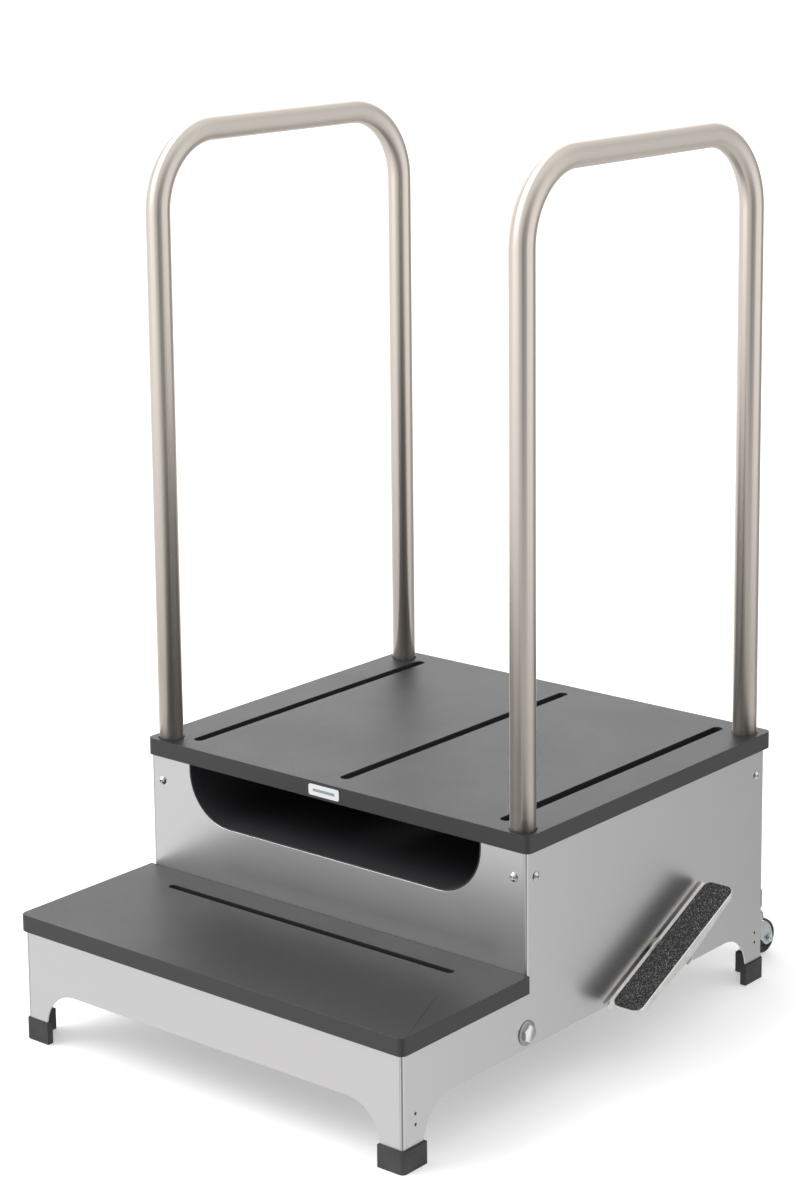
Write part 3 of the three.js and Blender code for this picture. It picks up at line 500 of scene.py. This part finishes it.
def distance_along(point, front, rear, foot, leg_top):
    """How far along the rail's centre line a point is, from the front post's foot."""
    bend = RAIL_BEND * math.pi / 2
    level = rear - front - 2 * RAIL_BEND
    if point.y < front + RAIL_BEND:
        if point.z < leg_top:
            return point.z - foot
        turn = math.atan2(point.z - leg_top, front + RAIL_BEND - point.y)
        return leg_top - foot + RAIL_BEND * turn
    if point.y < rear - RAIL_BEND:
        return leg_top - foot + bend + point.y - front - RAIL_BEND
    if point.z < leg_top:
        return 2 * (leg_top - foot + bend) + level - (point.z - foot)
    turn = math.atan2(point.z - leg_top, point.y - (rear - RAIL_BEND))
    return leg_top - foot + bend + level + RAIL_BEND * (math.pi / 2 - turn)


def axis_at(point, front, rear, leg_top):
    """The direction of the rail's centre line beside a point."""
    if point.z < leg_top:
        return Vector((0, 0, 1))
    centre_y = min(max(point.y, front + RAIL_BEND), rear - RAIL_BEND)
    out = Vector((0, point.y - centre_y, point.z - leg_top)).normalized()
    return Vector((0, out.z, -out.y))


def handrail(node, sides=64, bend_steps=24):
    low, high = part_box(node)
    radius = (high.x - low.x) / 2
    x = (high.x + low.x) / 2
    front, rear = low.y + radius, high.y - radius
    foot, leg_top = low.z, high.z - radius - RAIL_BEND
    shape = bmesh.new()
    ring = bmesh.ops.create_circle(
        shape, segments=sides, radius=radius, matrix=Matrix.Translation((x, front, foot)))
    edges = ring_edges(ring)

    def push(edges, offset):
        made = bmesh.ops.extrude_edge_only(shape, edges=edges)["geom"]
        moved = verts_in(made)
        bmesh.ops.translate(shape, vec=offset, verts=moved)
        return [edge for edge in edges_in(made)
                if edge.verts[0] in moved and edge.verts[1] in moved]

    def swing(edges, centre_y):
        made = bmesh.ops.spin(
            shape, geom=edges, cent=(x, centre_y, leg_top), axis=(-1, 0, 0),
            angle=math.pi / 2, steps=bend_steps)["geom_last"]
        return edges_in(made)

    edges = push(edges, (0, 0, leg_top - foot))
    edges = swing(edges, front + RAIL_BEND)
    edges = push(edges, (0, rear - front - 2 * RAIL_BEND, 0))
    edges = swing(edges, rear - RAIL_BEND)
    push(edges, (0, 0, foot - leg_top))
    bmesh.ops.remove_doubles(shape, verts=shape.verts, dist=WELD)
    bmesh.ops.recalc_face_normals(shape, faces=shape.faces)
    along = shape.verts.layers.float.new("along")
    axis = shape.verts.layers.float_vector.new("axis")
    for vert in shape.verts:
        vert[along] = distance_along(vert.co, front, rear, foot, leg_top)
        vert[axis] = axis_at(vert.co, front, rear, leg_top)
    return shape


for side in SIDES:
    rail = add_piece(f"handrail_{side}_tube", handrail(f"handrail_{side}"), f"handrail_{side}")
    wall = rail.modifiers.new("tube wall", "SOLIDIFY")
    wall.thickness = RAIL_WALL
    wall.offset = -1
    eased_copy(f"front_post_plug_{side}", 0.5 * MM)
    eased_copy(f"rear_post_plug_{side}", 0.5 * MM)

# ---- Post screws ----

SCREW_HEAD = 3.6 * MM
SCREW_SOCKET = 4 * MM  # across the flats
SCREW_SOCKET_DEPTH = 2 * MM
SCREW_RADIUS = 3 * MM
SCREW_LENGTH = 7.5 * MM  # under the head


def button_head(radius, height, socket_width, socket_depth):
    """A domed button head with a hexagon socket, standing on Z = 0 and facing +Z."""
    socket_radius = socket_width / math.sqrt(3)
    mouth = socket_radius * 1.12
    curve = [point for point in dome(radius, height * 0.8, height * 0.22) if point[0] > mouth]
    shape = turned([(0, 0), (radius * 0.9, 0), (radius, height * 0.08)] + curve
                   + [(mouth, height)])
    rim = open_edges(shape)
    hexagon = bmesh.ops.create_circle(
        shape, segments=6, radius=socket_radius,
        matrix=Matrix.Translation((0, 0, height * 0.96)))
    bmesh.ops.subdivide_edges(shape, edges=ring_edges(hexagon), cuts=7)
    inner = [edge for edge in shape.edges if not edge.link_faces]
    bmesh.ops.bridge_loops(shape, edges=rim + inner)
    made = bmesh.ops.extrude_edge_only(shape, edges=open_edges(shape))["geom"]
    bmesh.ops.translate(shape, vec=(0, 0, -socket_depth), verts=verts_in(made))
    bmesh.ops.holes_fill(shape, edges=open_edges(shape))
    bmesh.ops.recalc_face_normals(shape, faces=shape.faces)
    return shape


def post_screw(node, direction):
    """A button head over the CAD head's place, with its shank behind it."""
    low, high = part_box(node)
    out = Vector(direction)
    size = high - low
    top = (low + high) / 2 + out * abs(size.dot(out)) / 2
    shape = button_head(size.z / 2, SCREW_HEAD, SCREW_SOCKET, SCREW_SOCKET_DEPTH)
    add_shape(shape, turned([(0, -SCREW_LENGTH), (SCREW_RADIUS, -SCREW_LENGTH),
                             (SCREW_RADIUS, 0), (0, 0)], 24))
    seat = top - out * SCREW_HEAD
    bmesh.ops.transform(shape, matrix=facing(direction, seat), verts=shape.verts)
    return shape


for side, way in (("right", 1), ("left", -1)):
    for end, out in (("front", -1), ("rear", 1)):
        for face, direction in (("side", (way, 0, 0)), ("face", (0, out, 0))):
            node = f"{end}_{face}_screw_{side}"
            add_piece(f"{node}_head", post_screw(node, direction), node, sharp=30)

# ---- Hinge bolts ----

HINGE_HEAD = 4.5 * MM
HINGE_FLAT = 10 * MM  # from the middle to a flat
HINGE_WASHER = 2 * MM
HINGE_SHANK_RADIUS = 6 * MM
HINGE_SHANK_LENGTH = 30 * MM


def hinge_bolt(node, way):
    """A chamfered hexagon head with its shank, and the round washer under it, as two shapes."""
    low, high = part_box(node)
    outer = high.x if way > 0 else low.x
    washer_radius = (high.z - low.z) / 2
    corners = HINGE_FLAT / math.cos(math.pi / 6)
    top = HINGE_WASHER + HINGE_HEAD
    shape = turned([
        (0, HINGE_WASHER), (corners, HINGE_WASHER), (corners, HINGE_WASHER + HINGE_HEAD * 0.72),
        (HINGE_FLAT * 0.98, HINGE_WASHER + HINGE_HEAD * 0.93), (HINGE_FLAT * 0.9, top),
        (0, top)], 96)
    for step in range(6):
        turn = math.radians(60 * step + 30)
        flat = Vector((math.cos(turn), math.sin(turn), 0))
        cut = bmesh.ops.bisect_plane(
            shape, geom=shape.verts[:] + shape.edges[:] + shape.faces[:],
            plane_co=flat * HINGE_FLAT, plane_no=flat, clear_outer=True)
        bmesh.ops.holes_fill(shape, edges=edges_in(cut["geom_cut"]))
    bmesh.ops.recalc_face_normals(shape, faces=shape.faces)
    ring = turned([
        (0, 0), (washer_radius, 0), (washer_radius, HINGE_WASHER * 0.3),
        (washer_radius * 0.96, HINGE_WASHER * 0.55), (washer_radius * 0.8, HINGE_WASHER),
        (0, HINGE_WASHER)], 64)
    add_shape(shape, turned([
        (0, -HINGE_SHANK_LENGTH), (HINGE_SHANK_RADIUS, -HINGE_SHANK_LENGTH),
        (HINGE_SHANK_RADIUS, HINGE_WASHER / 2), (0, HINGE_WASHER / 2)], 32))
    centre = middle_of(node)
    foot = Vector((outer - way * top, centre.y, centre.z))
    for made in (shape, ring):
        bmesh.ops.transform(made, matrix=facing((way, 0, 0), foot), verts=made.verts)
    return shape, ring


for side, way in (("right", 1), ("left", -1)):
    node = f"hinge_bolt_{side}"
    bolt, ring = hinge_bolt(node, way)
    add_piece(f"{node}_head", bolt, node, sharp=25)
    add_piece(f"hinge_washer_{side}", ring, None, sharp=25, slot="plain_steel", stands_in=False)
    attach(bpy.data.objects[f"hinge_washer_{side}"], "stool")

# ---- Carriage ----

for node in ("carriage_hinge_bar", "carriage_cross_tube"):
    eased_copy(node, 0.8 * MM, segments=3)
for side in SIDES:
    eased_copy(f"carriage_arm_{side}", 0.6 * MM)

# ---- Casters ----

TYRE_DEPTH = 7 * MM  # tread to rim
TYRE_CROWN = 5 * MM
HUB_BORE = 3.3 * MM  # radius
HUB_FACE_INSET = 2 * MM
WEB_INSET = 2.6 * MM  # from the hub's face to its web
AXLE_RADIUS = 3 * MM
AXLE_HEAD_RADIUS = 5.2 * MM
AXLE_HEAD = 2.5 * MM
AXLE_GAP = 0.3 * MM  # from the fork to the head and the nut
NUT_RADIUS = 5.6 * MM  # to its corners
STEM_RADIUS = 5 * MM


def caster_wheel(side):
    """Tyre and hub of one caster, each a turned ring about the axle."""
    low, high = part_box(f"caster_tyre_{side}")
    centre = (low + high) / 2
    radius, half = (high.z - low.z) / 2, (high.x - low.x) / 2
    rim = radius - TYRE_DEPTH
    tread = [
        (radius - TYRE_CROWN * (1 - math.cos(turn)), half * math.sin(turn))
        for turn in (math.radians(degrees) for degrees in range(-70, 71, 10))
    ]
    tyre = turned([(rim, -half + 1 * MM), (rim + 2 * MM, -half + 0.4 * MM)] + tread
                  + [(rim + 2 * MM, half - 0.4 * MM), (rim, half - 1 * MM),
                     (rim, -half + 1 * MM)], 72)
    bore = HUB_BORE
    face = half - HUB_FACE_INSET
    hub = turned([
        (bore, -face - 1 * MM), (bore * 2, -face - 1 * MM), (bore * 2.1, -face + 2 * MM),
        (rim * 0.78, -face + WEB_INSET), (rim * 0.84, -face), (rim - 0.3 * MM, -face),
        (rim - 0.3 * MM, face), (rim * 0.84, face), (rim * 0.78, face - WEB_INSET),
        (bore * 2.1, face - 2 * MM), (bore * 2, face + 1 * MM), (bore, face + 1 * MM),
        (bore, -face - 1 * MM)], 64)
    for shape in (tyre, hub):
        bmesh.ops.transform(shape, matrix=facing((1, 0, 0), centre), verts=shape.verts)
    return tyre, hub


def caster_axle(side):
    """The axle with a plain head inside and a chamfered nut on the outer side."""
    node = f"caster_axle_{side}"
    low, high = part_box(node)
    way = 1 if side == "right" else -1
    fork_low, fork_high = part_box(f"caster_fork_{side}")
    centre = middle_of(f"caster_tyre_{side}")
    half = (fork_high.x - fork_low.x) / 2 + AXLE_GAP
    end = (high.x - centre.x) if way > 0 else (centre.x - low.x)
    nut_end = end - 1 * MM
    bolt = turned([
        (0, -half - AXLE_HEAD), (4.4 * MM, -half - AXLE_HEAD),
        (AXLE_HEAD_RADIUS, -half - 1.6 * MM), (AXLE_HEAD_RADIUS, -half), (AXLE_RADIUS, -half),
        (AXLE_RADIUS, end - 0.5 * MM), (2.5 * MM, end), (0, end)], 40)
    nut = bmesh.new()
    bmesh.ops.create_circle(nut, segments=6, radius=NUT_RADIUS, cap_ends=True)
    thicken(nut, (0, 0, nut_end - half))
    bmesh.ops.bevel(nut, geom=nut.edges[:], offset=0.6 * MM, segments=2, profile=0.5,
                    affect="EDGES", material=-1)
    add_shape(bolt, nut, Matrix.Translation((0, 0, half)))
    bmesh.ops.transform(bolt, matrix=facing((way, 0, 0), centre), verts=bolt.verts)
    return bolt


def swivel_race(side):
    """The fixed race above the fork, two pressed cups with a groove between, and its stem."""
    low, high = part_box(f"caster_stem_{side}")
    radius = (high.x - low.x) / 2
    beam_low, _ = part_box("carriage_cross_tube")
    foot, top = low.z, beam_low.z - 0.3 * MM
    rise = top - foot
    shape = turned([
        (0, foot), (radius * 0.82, foot), (radius * 0.94, foot + rise * 0.06),
        (radius, foot + rise * 0.16), (radius, foot + rise * 0.34),
        (radius * 0.94, foot + rise * 0.42), (radius * 0.9, foot + rise * 0.44),
        (radius * 0.96, foot + rise * 0.48), (radius * 0.96, foot + rise * 0.6),
        (radius * 0.9, foot + rise * 0.74), (radius * 0.72, foot + rise * 0.86),
        (radius * 0.5, foot + rise * 0.94), (radius * 0.48, top), (STEM_RADIUS, top),
        (STEM_RADIUS, high.z - 1 * MM), (STEM_RADIUS - 1 * MM, high.z), (0, high.z)], 64)
    centre = (low + high) / 2
    bmesh.ops.translate(shape, vec=(centre.x, centre.y, 0), verts=shape.verts)
    return shape


for side in SIDES:
    tyre, hub = caster_wheel(side)
    add_piece(f"caster_tyre_{side}_turned", tyre, f"caster_tyre_{side}")
    add_piece(f"caster_hub_{side}_turned", hub, f"caster_hub_{side}", sharp=30)
    add_piece(f"caster_axle_{side}_bolt", caster_axle(side), f"caster_axle_{side}", sharp=30)
    add_piece(f"caster_stem_{side}_race", swivel_race(side), f"caster_stem_{side}", sharp=35)
    eased_copy(f"caster_fork_{side}", 0.8 * MM, segments=3, angle=35)

# ---- Pedal ----

PEDAL_REST = math.radians(25)
PEDAL_LENGTH = 232 * MM
PLATE_SHEET = 2.5 * MM
PLATE_TOP = 14 * MM  # over the shaft's middle
PLATE_CORNER = 11 * MM
EDGE_DEPTH = 6 * MM
EDGE_MIDDLE_DEPTH = 13 * MM
GRIP_BORDER = 1.3 * MM
GRIP_THICKNESS = 1.2 * MM
GRIP_GAP = 0.15 * MM
GRIT_PIT = 0.6  # share of the grit's depth that its pits reach
TAB_HALF_WIDTH = 10.5 * MM
SQUARE_TURN = 1.2  # radians; a sharper edge than this is one of the slab's own

shaft_middle = middle_of("pedal_shaft")
PEDAL_TURN = (
    Matrix.Translation((0, shaft_middle.y, shaft_middle.z))
    @ Matrix.Rotation(PEDAL_REST, 4, "X")
)
plate_low, plate_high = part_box("pedal_plate")


def rounded_sheet(x0, x1, y0, y1, corner, segments=10):
    """A flat rectangle with round corners at Z = 0."""
    shape = bmesh.new()
    outline = [shape.verts.new(place) for place in (
        (x0, y0, 0), (x1, y0, 0), (x1, y1, 0), (x0, y1, 0))]
    shape.faces.new(outline)
    bmesh.ops.bevel(shape, geom=outline, offset=corner, segments=segments, profile=0.5,
                    affect="VERTICES", material=-1)
    return shape


def pedal_plate():
    """The plate with its outer edge folded down, deepest at the middle."""
    half = PEDAL_LENGTH / 2
    shape = rounded_sheet(plate_low.x, plate_high.x, -half, half, PLATE_CORNER)
    thicken(shape, (0, 0, PLATE_SHEET))
    rims = [edge for edge in shape.edges if edge.calc_face_angle(0) > SQUARE_TURN
            and abs(edge.verts[0].co.z - edge.verts[1].co.z) < WELD]
    bmesh.ops.bevel(shape, geom=rims, offset=0.8 * MM, segments=3, profile=0.5,
                    affect="EDGES", material=-1)
    bmesh.ops.translate(shape, vec=(0, 0, PLATE_TOP - PLATE_SHEET), verts=shape.verts)
    edge = bmesh.new()
    straight = half - PLATE_CORNER
    top = PLATE_TOP - PLATE_SHEET / 2
    outline = [
        (-straight, top), (-straight, top - EDGE_DEPTH),
        (-TAB_HALF_WIDTH, top - EDGE_MIDDLE_DEPTH), (TAB_HALF_WIDTH, top - EDGE_MIDDLE_DEPTH),
        (straight, top - EDGE_DEPTH), (straight, top)]
    edge.faces.new([edge.verts.new((plate_high.x - PLATE_SHEET, y, z)) for y, z in outline])
    thicken(edge, (PLATE_SHEET, 0, 0))
    bmesh.ops.bevel(edge, geom=edge.edges[:], offset=0.7 * MM, segments=3, profile=0.5,
                    affect="EDGES", material=-1)
    add_shape(shape, edge)
    bmesh.ops.transform(shape, matrix=PEDAL_TURN, verts=shape.verts)
    return shape


def grit_pad(cell=0.45 * MM, depth=0.4 * MM):
    """The grit pad, its top broken up into real grains."""
    half = PEDAL_LENGTH / 2 - GRIP_BORDER
    x0, x1 = plate_low.x + GRIP_BORDER, plate_high.x - GRIP_BORDER
    corner = PLATE_CORNER - GRIP_BORDER
    shape = bmesh.new()
    columns = int((x1 - x0) / cell)
    rows = int(2 * half / cell)
    bmesh.ops.create_grid(shape, x_segments=columns, y_segments=rows, size=0.5)
    bmesh.ops.scale(shape, vec=(x1 - x0, 2 * half, 1), verts=shape.verts)
    middle_x = (x0 + x1) / 2
    reach_x = (x1 - x0) / 2 - corner
    reach_y = half - corner
    outside = []
    for vert in shape.verts:
        over = Vector((max(abs(vert.co.x) - reach_x, 0), max(abs(vert.co.y) - reach_y, 0)))
        if over.length > corner:
            pull = over.normalized() * corner
            vert.co.x = math.copysign(reach_x + pull.x, vert.co.x)
            vert.co.y = math.copysign(reach_y + pull.y, vert.co.y)
        if over.length > corner - cell:
            outside.append(vert)
    at_rim = set(outside) | {vert for vert in shape.verts if vert.is_boundary}
    for vert in shape.verts:
        if vert in at_rim:
            continue
        grain = noise.noise(vert.co * 900) + 0.6 * noise.noise(vert.co * 1900)
        vert.co.z = depth * max(-GRIT_PIT, min(1.0, grain))
    made = bmesh.ops.extrude_edge_only(shape, edges=open_edges(shape))["geom"]
    bmesh.ops.translate(
        shape, vec=(0, 0, -GRIP_THICKNESS + depth * GRIT_PIT), verts=verts_in(made))
    bmesh.ops.holes_fill(shape, edges=open_edges(shape))
    bmesh.ops.recalc_face_normals(shape, faces=shape.faces)
    top = PLATE_TOP + GRIP_GAP + GRIP_THICKNESS - depth * GRIT_PIT
    bmesh.ops.translate(shape, vec=(middle_x, 0, top), verts=shape.verts)
    bmesh.ops.transform(shape, matrix=PEDAL_TURN, verts=shape.verts)
    return shape


plate = add_piece("pedal_plate_folded", pedal_plate(), "pedal_plate")
weigh_normals(plate)
add_piece("pedal_grit_pad", grit_pad(), "pedal_grip", sharp=60)
eased_copy("pedal_lever", 0.5 * MM, segments=3)
eased_copy("pedal_shaft", 0.6 * MM, angle=40)
for side in SIDES:
    eased_copy(f"shaft_bush_{side}", 0.3 * MM)
    eased_copy(f"pedal_cam_{side}", 0.5 * MM)

# ---- Return springs ----

SPRING_TURNS = 13
SPRING_TURN_STEPS = 24
SPRING_WIRE = 0.9 * MM  # radius


def coil_spring(node):
    """A close coil between the stud above and the arm below."""
    low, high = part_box(node)
    coil = (high.x - low.x) / 2 - SPRING_WIRE
    centre = (low + high) / 2
    shape = bmesh.new()
    wire = bmesh.ops.create_circle(
        shape, segments=10, radius=SPRING_WIRE,
        matrix=Matrix.Translation((coil, 0, SPRING_WIRE)) @ Matrix.Rotation(math.pi / 2, 4, "X"))
    steps = SPRING_TURNS * SPRING_TURN_STEPS
    rise = (high.z - low.z - 2 * SPRING_WIRE) / steps
    bmesh.ops.spin(shape, geom=ring_edges(wire), cent=(0, 0, 0), axis=(0, 0, 1), dvec=(0, 0, rise),
                   angle=2 * math.pi * SPRING_TURNS, steps=steps)
    bmesh.ops.holes_fill(shape, edges=open_edges(shape))
    bmesh.ops.recalc_face_normals(shape, faces=shape.faces)
    bmesh.ops.translate(shape, vec=(centre.x, centre.y, low.z), verts=shape.verts)
    return shape


for side in SIDES:
    node = f"return_spring_{side}"
    spring = add_piece(f"{node}_coil", coil_spring(node), node, stands_in=False)
    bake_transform(spring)
    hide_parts(node)
    eased_copy(f"spring_stud_{side}", 0.4 * MM)

# ---- Floor, lights and the studio round them ----

FLOOR_REACH = 12.0
FLOOR_DROP = 0.2 * MM  # under the feet
FLOOR_GLOW = 0.38


def add_floor():
    shape = bmesh.new()
    bmesh.ops.create_grid(shape, x_segments=1, y_segments=1, size=FLOOR_REACH)
    bmesh.ops.translate(shape, vec=(0, 0, -FLOOR_DROP), verts=shape.verts)
    mesh = bpy.data.meshes.new("studio_floor")
    shape.to_mesh(mesh)
    shape.free()
    paper = Finish("floor_paper", (0.86, 0.86, 0.86), 0.9, specular=0.1)
    paper.surface.inputs["Emission Color"].default_value = (1, 1, 1, 1)
    paper.surface.inputs["Emission Strength"].default_value = FLOOR_GLOW
    tone = paper.grain(paper.places(), 2.0, 2.0)
    paper.drive("Base Color", paper.blend_colours(tone, (0.85, 0.85, 0.85), (0.87, 0.87, 0.87)))
    mesh.materials.append(paper.material)
    ground = bpy.data.objects.new("studio_floor", mesh)
    bpy.context.scene.collection.objects.link(ground)
    ground.visible_glossy = False


def add_soft_sun(name, compass, height, spread, strength):
    """Even soft light from a compass direction and a height, both in degrees."""
    data = bpy.data.lights.new(name, "SUN")
    data.angle = math.radians(spread)
    data.energy = strength
    light = bpy.data.objects.new(name, data)
    around, up = math.radians(compass), math.radians(height)
    source = Vector((
        math.cos(up) * math.cos(around), math.cos(up) * math.sin(around), math.sin(up)))
    light.rotation_euler = source.to_track_quat("Z", "Y").to_euler()
    bpy.context.scene.collection.objects.link(light)


# What the stool mirrors, by compass direction in degrees from +X towards +Y.
STUDIO_WALLS = (
    (-180, 0.9), (-145, 0.98), (-92, 0.98), (-68, 0.6), (-44, 0.16), (-22, 0.3), (0, 0.95),
    (46, 1.0), (60, 0.38), (88, 0.38), (106, 0.8), (120, 2.0), (156, 2.0), (168, 1.1), (180, 0.9),
)
BRIGHTEST = 2.0  # the walls' brightest value, which scales the whole studio
CEILING = 0.9  # overhead
GROUND = 0.7  # underfoot
LOW_LIMIT = 1.0  # no wall is brighter than this below the horizon
BACKDROP = 1.05  # the plain white behind the stool


def add_studio():
    """Walls to mirror that change with the compass and the height, behind a plain backdrop."""
    world = bpy.data.worlds.new("studio")
    bpy.context.scene.world = world
    world.use_nodes = True
    tree = world.node_tree
    tree.nodes.clear()
    new, link = tree.nodes.new, tree.links.new
    coordinates = new("ShaderNodeTexCoord")
    parts = new("ShaderNodeSeparateXYZ")
    link(coordinates.outputs["Generated"], parts.inputs["Vector"])
    compass = new("ShaderNodeMath")
    compass.operation = "ARCTAN2"
    link(parts.outputs["Y"], compass.inputs[0])
    link(parts.outputs["X"], compass.inputs[1])
    share = new("ShaderNodeMapRange")
    share.inputs["From Min"].default_value = -math.pi
    share.inputs["From Max"].default_value = math.pi
    link(compass.outputs["Value"], share.inputs["Value"])
    walls = new("ShaderNodeValToRGB")
    walls.color_ramp.interpolation = "EASE"
    stops = walls.color_ramp.elements
    stops.remove(stops[1])
    for degrees, bright in STUDIO_WALLS:
        stop = stops.new((degrees + 180) / 360) if degrees > -180 else stops[0]
        share_of = bright / BRIGHTEST
        stop.color = (share_of, share_of, share_of, 1)
    link(share.outputs["Result"], walls.inputs["Fac"])

    def by_height(low, high, from_low, from_high):
        made = new("ShaderNodeMapRange")
        made.interpolation_type = "SMOOTHSTEP"
        for key, value in (("From Min", from_low), ("From Max", from_high),
                           ("To Min", low), ("To Max", high)):
            made.inputs[key].default_value = value
        link(parts.outputs["Z"], made.inputs["Value"])
        return made.outputs["Result"]

    def mixed(factor, low, high, kind="MIX"):
        made = new("ShaderNodeMix")
        made.data_type = "RGBA"
        made.blend_type = kind
        for socket, value in zip((made.inputs[0], made.inputs[MIX_A], made.inputs[MIX_B]),
                                 (factor, low, high)):
            if isinstance(value, bpy.types.NodeSocket):
                link(value, socket)
            else:
                socket.default_value = value
        return made.outputs[MIX_RESULT]

    grey = (CEILING / BRIGHTEST,) * 3 + (1,)
    low_grey = (GROUND / BRIGHTEST,) * 3 + (1,)
    limit = by_height(LOW_LIMIT / BRIGHTEST, 1.0, -0.05, 0.12)
    capped = mixed(1.0, walls.outputs["Color"], limit, "DARKEN")
    roofed = mixed(by_height(0.0, 1.0, 0.35, 0.8), capped, grey)
    whole = mixed(by_height(1.0, 0.0, -0.85, -0.4), roofed, low_grey)
    studio = new("ShaderNodeBackground")
    studio.inputs["Strength"].default_value = BRIGHTEST
    link(whole, studio.inputs["Color"])
    white = new("ShaderNodeBackground")
    white.inputs["Color"].default_value = (1, 1, 1, 1)
    white.inputs["Strength"].default_value = BACKDROP
    path = new("ShaderNodeLightPath")
    seen = new("ShaderNodeMixShader")
    link(path.outputs["Is Camera Ray"], seen.inputs["Fac"])
    link(studio.outputs["Background"], seen.inputs[1])
    link(white.outputs["Background"], seen.inputs[2])
    out = new("ShaderNodeOutputWorld")
    link(seen.outputs["Shader"], out.inputs["Surface"])
    world.cycles.sampling_method = "NONE"


add_floor()
add_studio()
add_soft_sun("key", compass=-135, height=50, spread=40, strength=1.3)
bpy.context.scene.view_settings.view_transform = "Standard"
